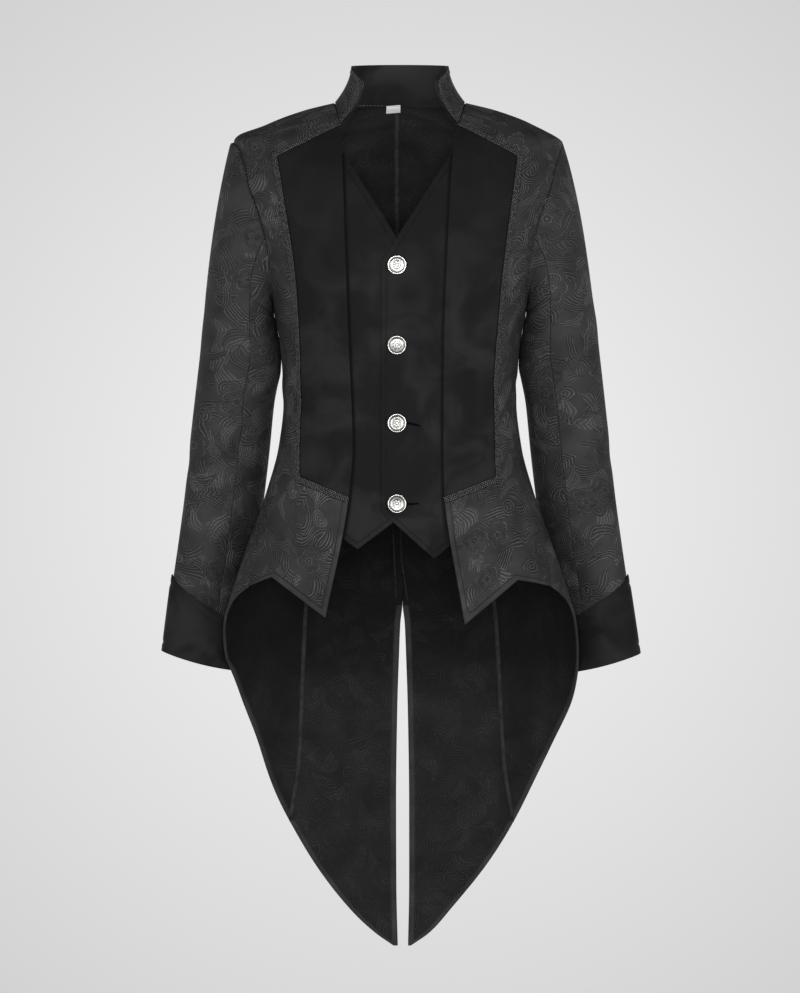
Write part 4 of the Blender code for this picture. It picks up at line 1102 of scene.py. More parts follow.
def sleeve_place(points, angle):
    """Places on the flat cloth, from a cylinder about the straight line down the sleeve's middle: its mean
    radius times the angle round it, taken on the same turn as the ring's own angle, and the way down it."""
    start = ring_middle(SLEEVE_RINGS[0])
    lean = unit(ring_middle(SLEEVE_RINGS[-1]) - start)
    down = (points - start) @ lean
    off = points - start - down[..., None] * lean
    turn = np.arctan2(-off[..., 1], off[..., 0])
    turn = turn + 2 * np.pi * np.round((angle - turn) / (2 * np.pi))
    return np.stack([turn * SLEEVE_RADIUS, down], axis=-1)


def make_sleeve(side, finish):
    """The upper and under sleeve, which meet at the forearm seam and the hindarm seam."""
    seam = FOREARM_SEAM * 2 * np.pi / RING_STEPS
    share = between(0, SLEEVE_END, SLEEVE_ROWS)
    spans = {
        "upper": between(-seam, seam, 2 * FOREARM_SEAM),
        "under": between(seam, 2 * np.pi - seam, RING_STEPS - 2 * FOREARM_SEAM),
    }
    for part, angle in spans.items():
        node = f"sleeve_{part}_{side}"
        grid = closer_at_edges(np.stack(np.meshgrid(share, angle, indexing="ij"), axis=-1))
        middle = sleeve_at(grid[..., 0], grid[..., 1], -CLOTH / 2, side)
        normal = unit(sleeve_at(grid[..., 0], grid[..., 1], 0.0, side) - middle)
        place = sleeve_place(middle, grid[..., 1]) * [facing(side), 1] + CUT_FROM[node]
        sewn(node, mirrored(middle, side), mirrored(normal, side), CLOTH, place, finish)


def sleeve_lean():
    """How the sleeve leans at its end: the way from its last ring but one to its last, for each metre down."""
    step = ring_middle(SLEEVE_RINGS[-1]) - ring_middle(SLEEVE_RINGS[-2])
    return step / -step[2]


def soft_groove(distance, place, depth, width):
    """A groove this deep at a place along a distance, as a bell."""
    return -depth * np.exp(-(((distance - place) / width) ** 2))


def make_cuff(side, finish):
    """The turned-up cuff, deepest on the outer side of the arm: its top edge falls away as a cosine
    round it, raised to a power. A welt is sewn below its top edge and a hem above its bottom edge, each
    as a soft groove."""
    angle = all_round(RING_STEPS)
    to_inner = ((1 - np.cos(angle)) / 2) ** CUFF_TOP_BEND
    top = CUFF_TOP_OUT + (CUFF_TOP_IN - CUFF_TOP_OUT) * to_inner
    down = between(0, 1, CUFF_ROWS)[:, None]
    grid = np.stack([top + (CUFF_BOTTOM - top) * down, angle + 0 * down, down + 0 * angle], axis=-1)
    share, angle, down = np.moveaxis(closer_at_edges(grid, axes=(0,)), -1, 0)
    lower = (CUFF_LONGER[side] + CUFF_BOW * np.sin(angle) ** 2) * down
    further = CUFF_SPREAD[side] * (1 + np.cos(angle)) / 2 * down
    moved = lower[..., None] * sleeve_lean() + further[..., None] * [1, 0, 0]
    level = (LAYER_GAP + CUFF_PROUD) / 2
    flat = sleeve_at(share, angle, level, side) + moved
    from_top = lengths(flat, 0)
    grooves = soft_groove(from_top, *CUFF_WELT) + soft_groove(from_top[-1:] - from_top, *CUFF_HEM)
    swell = CUFF_SWELL * soft_step(from_top, 0.0, CUFF_SWELL_RISE) * (1 - down)
    swell = swell * np.sin(CUFF_SWELL_WAVES * angle + CUFF_SWELL_START) ** 2
    middle = sleeve_at(share, angle, level + grooves + swell, side) + moved
    normal = unit(sleeve_at(share, angle, level + NUDGE, side) + moved - flat)
    place = np.stack([lengths(middle, 1), from_top], axis=-1)
    sewn(
        f"cuff_{side}", mirrored(middle, side), mirrored(normal, side), CUFF_PROUD - LAYER_GAP, place, finish,
        closed=True,
    )


# Collar

def neck_seam():
    """The neck seam as points from the wearer's right front round the back to the left front."""
    half = {}
    for side in ("right", "left"):
        seam = neck_front(side, COLLAR_FRONT_STEPS)
        ahead = body_at(seam[:, 0], seam[:, 1])
        behind = body_at(between(np.pi / 2, np.pi, COLLAR_BACK_STEPS), 0.0)
        half[side] = mirrored(joined(ahead, behind), side)
    return joined(half["right"], half["left"][::-1])


def collar_top():
    """The collar's top edge: up the slanted corner, then round the back on an ellipse."""
    tip, corner = np.array(COLLAR_TIP), np.array(COLLAR_CORNER)
    side, back = np.array(COLLAR_TOP_SIDE), np.array(COLLAR_TOP_BACK)
    chamfer = between(tip, corner, COLLAR_CHAMFER_STEPS)
    along = between(corner, side, COLLAR_FRONT_STEPS - COLLAR_CHAMFER_STEPS)
    angle = between(0, np.pi / 2, COLLAR_BACK_STEPS)[:, None]
    behind = side * [1, 0, 0] * np.cos(angle) + (back - side) * [0, 1, 1] * np.sin(angle) + side * [0, 1, 1]
    half = joined(chamfer, along, behind)
    return joined(half * [-1, 1, 1], half[::-1])


def collar_face(lower=0.0):
    """The collar's outside, from its base to its top edge: its height grows evenly, and its plan
    closes on the top edge's as a power of the height, which flares the base out on to the shoulders.
    The base can be lower."""
    base = neck_seam()
    inward = unit((np.array(NECK_CENTRE) - base) * [1, 1, 0])
    base = base + inward * COLLAR_INSET + [0, 0, COLLAR_RISE - lower]
    top = collar_top()
    share = np.linspace(0, 1, COLLAR_ROWS + 1)[:, None, None]
    flat = top + (base - top) * (1 - share) ** COLLAR_FLARE
    level = base + (top - base) * share
    return closer_at_edges(flat * [1, 1, 0] + level * [0, 0, 1])


def grid_normals(points):
    """Unit normals of a grid of points, from its steps down and across."""
    return unit(np.cross(np.gradient(points, axis=0), np.gradient(points, axis=1)))


def make_basting(inner, out, thread):
    """Long loose stitches of pale thread along the collar's base inside the back, on the wearer's right."""
    middle = inner.shape[1] // 2
    there = FIRST_STEP, slice(middle - COLLAR_BACK_STEPS // 2, middle - COLLAR_BACK_STEPS // 8)
    line = inner[there] - out[there] * COLLAR_CLOTH / 2
    return make_stitches("neck_basting", [(line, -out[there])], thread, BASTING_STITCH)


def make_collar(outside, inside, loose):
    """The stand collar's two layers, brocade outside and velvet inside, sewn together round their edges."""
    face = collar_face()
    out = grid_normals(face)
    if out[0, len(out[0]) // 2, 1] < 0:
        out = -out
    place = np.stack([lengths(face, 1), lengths(face, 0)], axis=-1)
    half = COLLAR_CLOTH / 2
    sewn("collar_outer", face - out * half, out, COLLAR_CLOTH, place, outside)
    inner = collar_face(COLLAR_TURN_IN) - out * (3 * half + LAYER_GAP / 2)
    basting = make_basting(inner, out, loose)
    sewn("collar_inner", inner, out, COLLAR_CLOTH, place, inside, trims=[basting])
    return face, out


# Braid, stitches, buttons and label

def cords(name, lines, frames, radii, sides, finish):
    """Cords along lines of points as one mesh: each is an ellipse with these half sizes, beside and up,
    carried along its line and closed by a point at each end."""
    points, faces, start = [], [], 0
    angle = all_round(sides)
    for centres, (beside, up) in zip(lines, frames):
        round_it = np.cos(angle)[None, :, None] * beside[:, None] * radii[0]
        ring = centres[:, None] + round_it + np.sin(angle)[None, :, None] * up[:, None] * radii[1]
        end = start + len(centres) * sides
        points += [ring.reshape(-1, 3), centres[[0, -1]]]
        faces += tube_faces(np.arange(start, end).reshape(-1, sides), end, end + 1)
        start = end + 2
    return trim(mesh_object(name, np.concatenate(points), faces, [finish]))


def resampled(line, *others, step):
    """A line of points walked at an even pace, with other arrays of the same length carried along."""
    run = lengths(line, 0)
    count = max(int(round(run[-1] / step)), 2)
    at = np.linspace(0, run[-1], count + 1)
    found = [np.stack([np.interp(at, run, a[:, i]) for i in range(3)], -1) for a in (line, *others)]
    return (*found, at)


def line_frame(line, above):
    """The way along a line of points, the way beside it on the cloth, and the way up from the cloth."""
    ahead = unit(np.gradient(line, axis=0))
    beside = unit(np.cross(above, ahead))
    return ahead, beside, unit(np.cross(ahead, beside))


def eased(points, rounds):
    """A line of points with its corners eased: in each round, a point between the ends becomes the mean of
    itself, taken twice, and its two neighbours."""
    for _ in range(rounds):
        points[1:-1] = (points[:-2] + 2 * points[1:-1] + points[2:]) / 4
    return points


def make_braid(node, line, above, finish, width=BRAID_WIDTH):
    """Gimp braid along a line of points on the cloth: a narrow tape, crowned across, under cords that zigzag
    from side to side, each a share of a wave behind the last, and pass over and under. A zigzag is the
    arcsine of a sine, with its corners eased."""
    middle, above, run = resampled(line, above, step=BRAID_WAVE / BRAID_WAVE_STEPS)
    _, beside, up = line_frame(middle, above)
    across = np.linspace(-0.5, 0.5, BRAID_TAPE_COLUMNS)[:, None] * width
    grid = middle[:, None] + beside[:, None] * across + up[:, None] * (LAYER_GAP + BRAID_TAPE / 2)
    grid = closer_at_edges(grid)
    tape_up = closer_at_edges(np.repeat(up[:, None], BRAID_TAPE_COLUMNS, axis=1))
    place = np.stack([lengths(grid, 1), lengths(grid, 0)], axis=-1)
    cord, ground = finish
    lines, frames = [], []
    for i in range(BRAID_CORDS):
        phase = 2 * np.pi * (run / BRAID_WAVE + i / BRAID_CORDS)
        zigzag = np.arcsin(BRAID_TURN * np.sin(phase)) / np.arcsin(BRAID_TURN)
        swing = BRAID_SWING * width / BRAID_WIDTH * zigzag
        lift = BRAID_LIFT * np.sin(2 * phase + np.pi * (i % 2))
        height = LAYER_GAP + BRAID_TAPE + BRAID_CORD[1] * BRAID_BED + lift
        centres = middle + beside * swing[:, None] + up * height[:, None]
        lines.append(centres)
        frames.append(line_frame(centres, up)[1:])
    plait = cords(f"{node}_cords", lines, frames, BRAID_CORD, CORD_SIDES, cord)
    sewn(node, grid, unit(tape_up), BRAID_TAPE, place, (ground, ground), trims=[plait])


def make_braid_front(side, finish):
    """Braid over the seam round the inset, with its corners eased over a few millimetres."""
    route = joined(*inset_edges(side))
    middle = body_at(route[:, 0], route[:, 1], 0.0, side)
    above = unit(body_at(route[:, 0], route[:, 1], NUDGE, side) - middle)
    middle, above, _ = resampled(middle, above, step=FRONT_BRAID_STEP)
    line = mirrored(eased(middle, FRONT_BRAID_EASING), side)
    make_braid(f"braid_front_{side}", line, mirrored(above, side), finish)


def make_braid_collar(side, face, out, finish):
    """Braid up the collar's front edge, round the tip and along the slanted corner, just inside the edge."""
    order = slice(None) if side == "right" else slice(None, None, -1)
    face, out = face[:, order], out[:, order]
    from_corner = np.linalg.norm(face[-1] - mirrored(np.array(COLLAR_CORNER), side), axis=-1)
    corner = int(np.argmin(from_corner))
    edge = joined(face[:, 0], face[-1, : corner + 1])
    above = joined(out[:, 0], out[-1, : corner + 1])
    into = unit(face[len(face) // 2, corner] - edge)
    into = unit(into - above * (into * above).sum(axis=-1, keepdims=True))
    line, above, into, _ = resampled(edge, above, into, step=COLLAR_BRAID_STEP)
    line, into = eased(line, COLLAR_BRAID_EASING), eased(into, COLLAR_BRAID_EASING)
    line = line + unit(into) * COLLAR_BRAID_WIDTH * COLLAR_BRAID_INSET
    make_braid(f"braid_collar_{side}", line, above, finish, COLLAR_BRAID_WIDTH)


def make_stitches(name, lines, finish, stitch=HEM_STITCH):
    """Rows of running stitches as one mesh. Each stitch is a short swept circle, thin at its ends, that dips
    into the cloth there. Lines are pairs of points and the ways up from the cloth."""
    pitch, length, radius = stitch
    shape = np.array(STITCH_SHAPE)
    angle = all_round(STITCH_SIDES)
    along = shape[:, 0] * length
    thick = shape[:, 1] * radius
    sink = -radius * (2 * np.abs(shape[:, 0])) ** 2
    sideways = thick[:, None] * np.cos(angle)
    height = sink[:, None] + thick[:, None] * np.sin(angle) + radius * 0.5
    points, faces, start = [], [], 0
    for line, above in lines:
        centres, above, _ = resampled(line, above, step=pitch)
        ahead, beside, up = (way[:, None, None] for way in line_frame(centres, above))
        ring = (
            centres[:, None, None] + ahead * along[:, None, None] + beside * sideways[..., None]
            + up * height[..., None]
        )
        number = start + np.arange(ring.size // 3).reshape(ring.shape[:3])
        wrapped = np.concatenate([number, number[..., :1]], axis=-1)
        corners = wrapped[:, :-1, 1:], wrapped[:, 1:, 1:], wrapped[:, 1:, :-1], wrapped[:, :-1, :-1]
        faces += [np.stack(corners, axis=-1).reshape(-1, 4), number[:, 0, ::-1], number[:, -1]]
        points.append(ring.reshape(-1, 3))
        start += number.size
    return trim(mesh_object(name, np.concatenate(points), np.concatenate(faces).tolist(), [finish]))


def make_buttonhole(number, drop, thread):
    """A worked buttonhole: a cord of close stitches round a slit, whose outline is a long oval, and a dark
    strip along the slit that stands for the shade where it gapes."""
    length, sag = BUTTONHOLES[number - 1]
    angle = between(0, 2 * np.pi, BUTTONHOLE_STEPS)
    x = BUTTON_X + length * (1 + np.cos(angle)) / 2
    at = drop + BUTTONHOLE_HALF_WIDTH * np.sin(angle) + sag * np.cos(angle)
    turn = turn_of(x, at)
    loop = body_at(turn, at, BUTTONHOLE_RISE - WAISTCOAT_DEPTH["left"], "left")
    _, beside, up = line_frame(loop, unit(body_at(turn, at, 0.0, "left") - loop))
    half = BUTTONHOLE_STEPS // 2
    slit = (loop[: half + 1] + loop[half:][::-1]) / 2
    parts = {
        "edge": (loop, (beside, up), (BUTTONHOLE_CORD, BUTTONHOLE_CORD)),
        # The slit's dark strip is painted shade where the hole gapes, in the near-black thread finish
        "slit": (slit, line_frame(slit, up[: half + 1])[1:], (BUTTONHOLE_HALF_WIDTH, BUTTONHOLE_CORD / 2)),
    }
    for part, (line, ways, radii) in parts.items():
        cords(f"buttonhole_{number}_{part}", [line], [ways], radii, BUTTONHOLE_SIDES, thread)


def button_relief(radius, angle):
    """The raised design of the button's face: an eight-petalled rosette, whose petals are a cosine
    round it, each with a vein as a bell, a ring of beads outside it as a sine in a bell, and a small
    boss in the middle."""
    petal = np.abs(np.cos(PETALS / 2 * angle)) ** PETAL_SHARPNESS
    reach = PETAL_REACH[0] + PETAL_REACH[1] * petal
    on_petal = soft_step(radius, *PETAL_START) * soft_step(reach - radius, 0, PETAL_END)
    from_vein = np.angle(np.exp(1j * PETALS * angle)) / VEIN_WIDTH
    on_vein = (radius > VEIN_ENDS[0]) * (radius < VEIN_ENDS[1])
    vein = -VEIN_DEPTH * np.exp(-(from_vein**2)) * on_vein
    boss = BOSS_RISE * soft_step(BOSS_RADIUS - radius, 0, BOSS_EDGE)
    on_ring = np.exp(-(((radius - BEAD_RING) / BEAD_SIZE) ** 2))
    bead = BEAD_RISE * on_ring * np.abs(np.sin(BEADS / 2 * angle))
    return PETAL_RISE * petal * on_petal + vein + boss + bead


def make_button(number, drop, finish):
    """A domed button: its profile turned round its shank, with the design as heights on its face."""
    turn = turn_of(BUTTON_X, drop)
    surface = body_at(turn, drop, -WAISTCOAT_DEPTH["left"], "left")
    axis = unit(body_at(turn, drop, 1.0) - body_at(turn, drop))
    across = unit(np.cross(axis, [0, 0, 1.0]))
    up = np.cross(across, axis)
    run = lengths(np.array([(r * BUTTON_RADIUS, h) for r, h in BUTTON_PROFILE]), 0)
    face_end = run[BUTTON_FACE_POINTS - 1]
    at = np.unique(np.concatenate([np.linspace(0, face_end, BUTTON_RINGS), run]))
    radius = np.interp(at, run, column(BUTTON_PROFILE, 0))[:, None]
    height = np.interp(at, run, column(BUTTON_PROFILE, 1))[:, None]
    angle = all_round(BUTTON_SIDES)
    tilt = (number - 2) * BUTTON_TILT
    lift = height + button_relief(radius, angle + tilt) * (at <= face_end)[:, None]
    ring = np.cos(angle)[:, None] * across + np.sin(angle)[:, None] * up
    points = surface + axis * LAYER_GAP + ring * radius[..., None] * BUTTON_RADIUS + axis * lift[..., None]
    inner, ends = points[1:-1].reshape(-1, 3), points[[0, -1]].mean(axis=1)
    faces = tube_faces(np.arange(len(inner)).reshape(-1, BUTTON_SIDES), len(inner), len(inner) + 1)
    shell = mesh_object(f"button_{number}_shell", np.concatenate([inner, ends]), faces, [finish])
    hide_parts(f"button_{number}")
    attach(shell, "root")


def make_label(finish, thread):
    """A blank tape label inside the back of the neck, hanging from the collar seam, a little askew. It curls
    with the square of the way down it, and ripples as a sine across it."""
    down = np.linspace(0, LABEL_LENGTH, LABEL_GRID[0])
    across = np.linspace(LABEL_LEFT, LABEL_RIGHT, LABEL_GRID[1])
    grid = closer_at_edges(np.stack(np.meshgrid(down, across, indexing="ij"), axis=-1))
    down, across = grid[..., 0], grid[..., 1]
    level = down - LABEL_RISE + (across - LABEL_LEFT) * LABEL_SLOPE
    drop = np.maximum(level, 0.0)
    # What reaches above the neck seam goes straight up in front of the collar
    above = (drop - level)[..., None] * np.array([0.0, 0.0, 1.0])
    turn = turn_of(across, drop, behind=True)
    curl = LABEL_RIPPLE * np.sin(across * LABEL_RIPPLE_PACE) - LABEL_CURL * (down / LABEL_LENGTH) ** 2
    middle = body_at(turn, drop, -LABEL_DEPTH - curl) + above
    normal = unit(body_at(turn, drop, 0.0) + above - middle)
    sewn_on = -normal[FIRST_STEP]
    line = middle[FIRST_STEP] + sewn_on * LABEL_CLOTH / 2
    stitches = make_stitches("label_stitches", [(line, sewn_on)], thread, LABEL_STITCH)
    place = grid[..., ::-1]
    sewn("neck_label", middle, normal, LABEL_CLOTH, place, (finish, finish), trims=[stitches])


# Finishes

def paint(hex_colour):
    """An sRGB hex colour as linear light, with full alpha."""
    value = np.array([int(hex_colour[i : i + 2], 16) / 255 for i in (1, 3, 5)])
    linear = np.where(value <= 0.04045, value / 12.92, ((value + 0.055) / 1.055) ** 2.4)
    return (*linear.tolist(), 1.0)


def plug(tree, node, inputs):
    """Each input of a node is a value, a socket, or another node, whose first output is linked."""
    for key, value in dict(inputs).items():
        if isinstance(value, bpy.types.Node):
            value = value.outputs[0]
        if isinstance(value, bpy.types.NodeSocket):
            tree.links.new(value, node.inputs[key])
        else:
            node.inputs[key].default_value = value


def add(tree, kind, inputs=(), **settings):
    """A node with its settings and its inputs. By number, a map range's inputs are the value, the range it
    comes from as 1 and 2, and the range it goes to as 3 and 4. A mix's are the share, two numbers as 2 and 3,
    and two colours as 6 and 7."""
    made = tree.nodes.new(f"ShaderNode{kind}")
    for name, value in settings.items():
        setattr(made, name, value)
    plug(tree, made, inputs)
    return made


def new_finish(name):
    """An empty material with its tree and its Principled shader."""
    made = bpy.data.materials.new(name)
    made.use_nodes = True
    return made, made.node_tree, made.node_tree.nodes["Principled BSDF"]


LINE_SPACING = 0.0037
# How far the cloth's weave lets the design drift, and over what distance
DRIFT = 0.030
DRIFT_SCALE = 17.0
# Above this chance a figure is filled with satin
FILLED_ABOVE = 0.66
# Roses: how far apart they lie, their petals, and the radii where they end and where fine veins run across them
ROSE_PITCH = 0.088
ROSE_PETALS = 5
ROSE_REACH = (0.74, 0.36)
ROSE_EDGE = (0.0235, 0.0220)
ROSE_VEINS = 32
VEINS_OPEN = (0.0095, 0.0105)
VEINS_CLOSE = (0.0145, 0.0135)

# Figures scattered over the brocade, from the lowest up: how far apart they lie, their half length and
# half width, the bow of their midrib for each metre, where on the cloth they start, and how many of them
# are left out
FIGURE_COLUMNS = ("figure", "pitch", "half_length", "half_width", "bow", "start", "left_out")
FIGURES = (
    ("plume", 0.044, 0.034, 0.0130, 15.0, 0.00, 0.00),
    ("curl", 0.047, 0.013, 0.0130, 0.0, 0.37, 0.30),
    ("leaf", 0.043, 0.023, 0.0085, -20.0, 0.71, 0.30),
    ("feather", 0.061, 0.020, 0.0080, 13.0, 1.51, 0.30),
    ("plume", 0.036, 0.021, 0.0072, -26.0, 1.13, 0.25),
)


def brocade_design(tree):
    """The brocade's design: its lines, from -1 where a shadow is painted beside a line to 1 on it, and where it
    is filled with satin. Its figures lie about scattered centres (a Voronoi pattern), each turned its own way.
    A leaf is a lens, the distance across over its half width plus the square of the way along over its half
    length, with outlines one inside another. A plume is a lens filled with lines along it, and a feather with
    slanting barbs. A curl is a spiral, its distance from the middle plus a share of the angle. Roses lie on
    top: rings pushed in and out by a cosine round them into petals."""
    place = add(tree, "UVMap", uv_map="cloth")
    drift = add(tree, "TexNoise", {"Vector": place, "Scale": DRIFT_SCALE, "Detail": 2.0})
    centred = add(tree, "VectorMath", {0: drift.outputs["Color"], 1: (0.5, 0.5, 0.5)}, operation="SUBTRACT")
    bend = add(tree, "VectorMath", {0: centred, "Scale": DRIFT}, operation="SCALE")
    spot = add(tree, "VectorMath", {0: place, 1: bend}, operation="ADD")

    def scattered(start, pitch, randomness):
        moved = add(tree, "VectorMath", {0: spot, 1: (start, start, 0.0)}, operation="ADD")
        inputs = {"Vector": moved, "Scale": 1 / pitch, "Randomness": randomness}
        cell = add(tree, "TexVoronoi", inputs, voronoi_dimensions="2D")
        away = add(tree, "VectorMath", {0: moved, 1: cell.outputs["Position"]}, operation="SUBTRACT")
        chance = add(tree, "SeparateColor", {0: cell.outputs["Color"]})
        turned = add(tree, "Math", {0: chance.outputs[0], 1: 2 * np.pi}, operation="MULTIPLY")
        away = add(tree, "VectorRotate", {"Vector": away, "Angle": turned}, rotation_type="Z_AXIS")
        axes = add(tree, "SeparateXYZ", {0: away})
        radius = add(tree, "VectorMath", {0: away}, operation="LENGTH").outputs["Value"]
        angle = add(tree, "Math", {0: axes.outputs["Y"], 1: axes.outputs["X"]}, operation="ARCTAN2")
        return axes, radius, angle, chance

    def ripples(distance, spacing, phase=0.0):
        waves = add(tree, "Math", {0: distance, 1: 2 * np.pi / spacing, 2: phase}, operation="MULTIPLY_ADD")
        return add(tree, "Math", {0: waves}, operation="SINE")

    line, full = 0.0, 0.0
    for row in FIGURES:
        figure = dict(zip(FIGURE_COLUMNS, row))
        axes, radius, angle, chance = scattered(figure["start"], figure["pitch"], 0.9)
        square = add(tree, "Math", {0: axes.outputs["X"], 1: 2.0}, operation="POWER")
        bowed = add(tree, "Math", {0: square, 1: figure["bow"], 2: axes.outputs["Y"]}, operation="MULTIPLY_ADD")
        across = add(tree, "Math", {0: bowed}, operation="ABSOLUTE")
        share = add(tree, "Math", {0: square, 1: figure["half_length"] ** -2}, operation="MULTIPLY")
        share = add(tree, "Math", {0: across, 1: 1 / figure["half_width"], 2: share}, operation="MULTIPLY_ADD")
        if figure["figure"] == "leaf":
            wave = LINE_SPACING / figure["half_width"]
            drawn = ripples(share, wave, np.pi / 2 - 2 * np.pi * 0.86 / wave)
        elif figure["figure"] == "plume":
            drawn = ripples(bowed, LINE_SPACING)
        elif figure["figure"] == "feather":
            slant = add(tree, "Math", {0: across, 1: 1.1, 2: axes.outputs["X"]}, operation="MULTIPLY_ADD")
            drawn = ripples(slant, 1.5 * LINE_SPACING)
        else:
            share = add(tree, "Math", {0: radius, 1: 1 / figure["half_length"]}, operation="MULTIPLY")
            pace = LINE_SPACING / (2 * np.pi)
            swirl = add(tree, "Math", {0: angle, 1: pace, 2: radius}, operation="MULTIPLY_ADD")
            drawn = ripples(swirl, LINE_SPACING)
        inside = add(tree, "MapRange", {0: share, 1: 1.0, 2: 0.9})
        kept = add(tree, "Math", {0: chance.outputs[1], 1: figure["left_out"]}, operation="GREATER_THAN")
        inside = add(tree, "Math", {0: inside, 1: kept}, operation="MULTIPLY")
        line = add(tree, "Mix", {0: inside, 2: line, 3: drawn})
        filled_in = add(tree, "Math", {0: chance.outputs[2], 1: FILLED_ABOVE}, operation="GREATER_THAN")
        full = add(tree, "Mix", {0: inside, 2: full, 3: filled_in})

    axes, radius, angle, chance = scattered(0.0, ROSE_PITCH, 0.8)
    lobes = add(tree, "Math", {0: angle, 1: ROSE_PETALS / 2}, operation="MULTIPLY")
    lobes = add(tree, "Math", {0: lobes}, operation="COSINE")
    lobes = add(tree, "Math", {0: lobes}, operation="ABSOLUTE")
    reach = add(tree, "Math", {0: lobes, 1: ROSE_REACH[1], 2: ROSE_REACH[0]}, operation="MULTIPLY_ADD")
    petal = add(tree, "Math", {0: radius, 1: reach}, operation="DIVIDE")
    pairs = add(tree, "MapRange", {0: ripples(petal, 3 * LINE_SPACING), 1: -0.6, 2: 0.0})
    rose = add(tree, "Math", {0: ripples(petal, LINE_SPACING), 1: pairs}, operation="MULTIPLY")
    opens = add(tree, "MapRange", {0: petal, 1: VEINS_OPEN[0], 2: VEINS_OPEN[1]})
    closes = add(tree, "MapRange", {0: petal, 1: VEINS_CLOSE[0], 2: VEINS_CLOSE[1]})
    in_veins = add(tree, "Math", {0: opens, 1: closes}, operation="MULTIPLY")
    rose = add(tree, "Mix", {0: in_veins, 2: rose, 3: ripples(angle, 2 * np.pi / ROSE_VEINS)})
    in_rose = add(tree, "MapRange", {0: petal, 1: ROSE_EDGE[0], 2: ROSE_EDGE[1]})
    line = add(tree, "Mix", {0: in_rose, 2: line, 3: rose})
    full = add(tree, "Mix", {0: in_rose, 2: full, 3: 0.0})
    return place, line, full


def hem_groove(tree):
    """The row of stitching along a hem, from nothing to one in its groove, a millimetre and a half wide."""
    distance = add(tree, "Attribute", attribute_name="from_hem").outputs["Fac"]
    off = add(tree, "Math", {0: distance, 1: STITCH_LINE}, operation="SUBTRACT")
    off = add(tree, "Math", {0: off}, operation="ABSOLUTE")
    return add(tree, "MapRange", {0: off, 1: 0.0013, 2: 0.0002}, interpolation_type="SMOOTHSTEP")


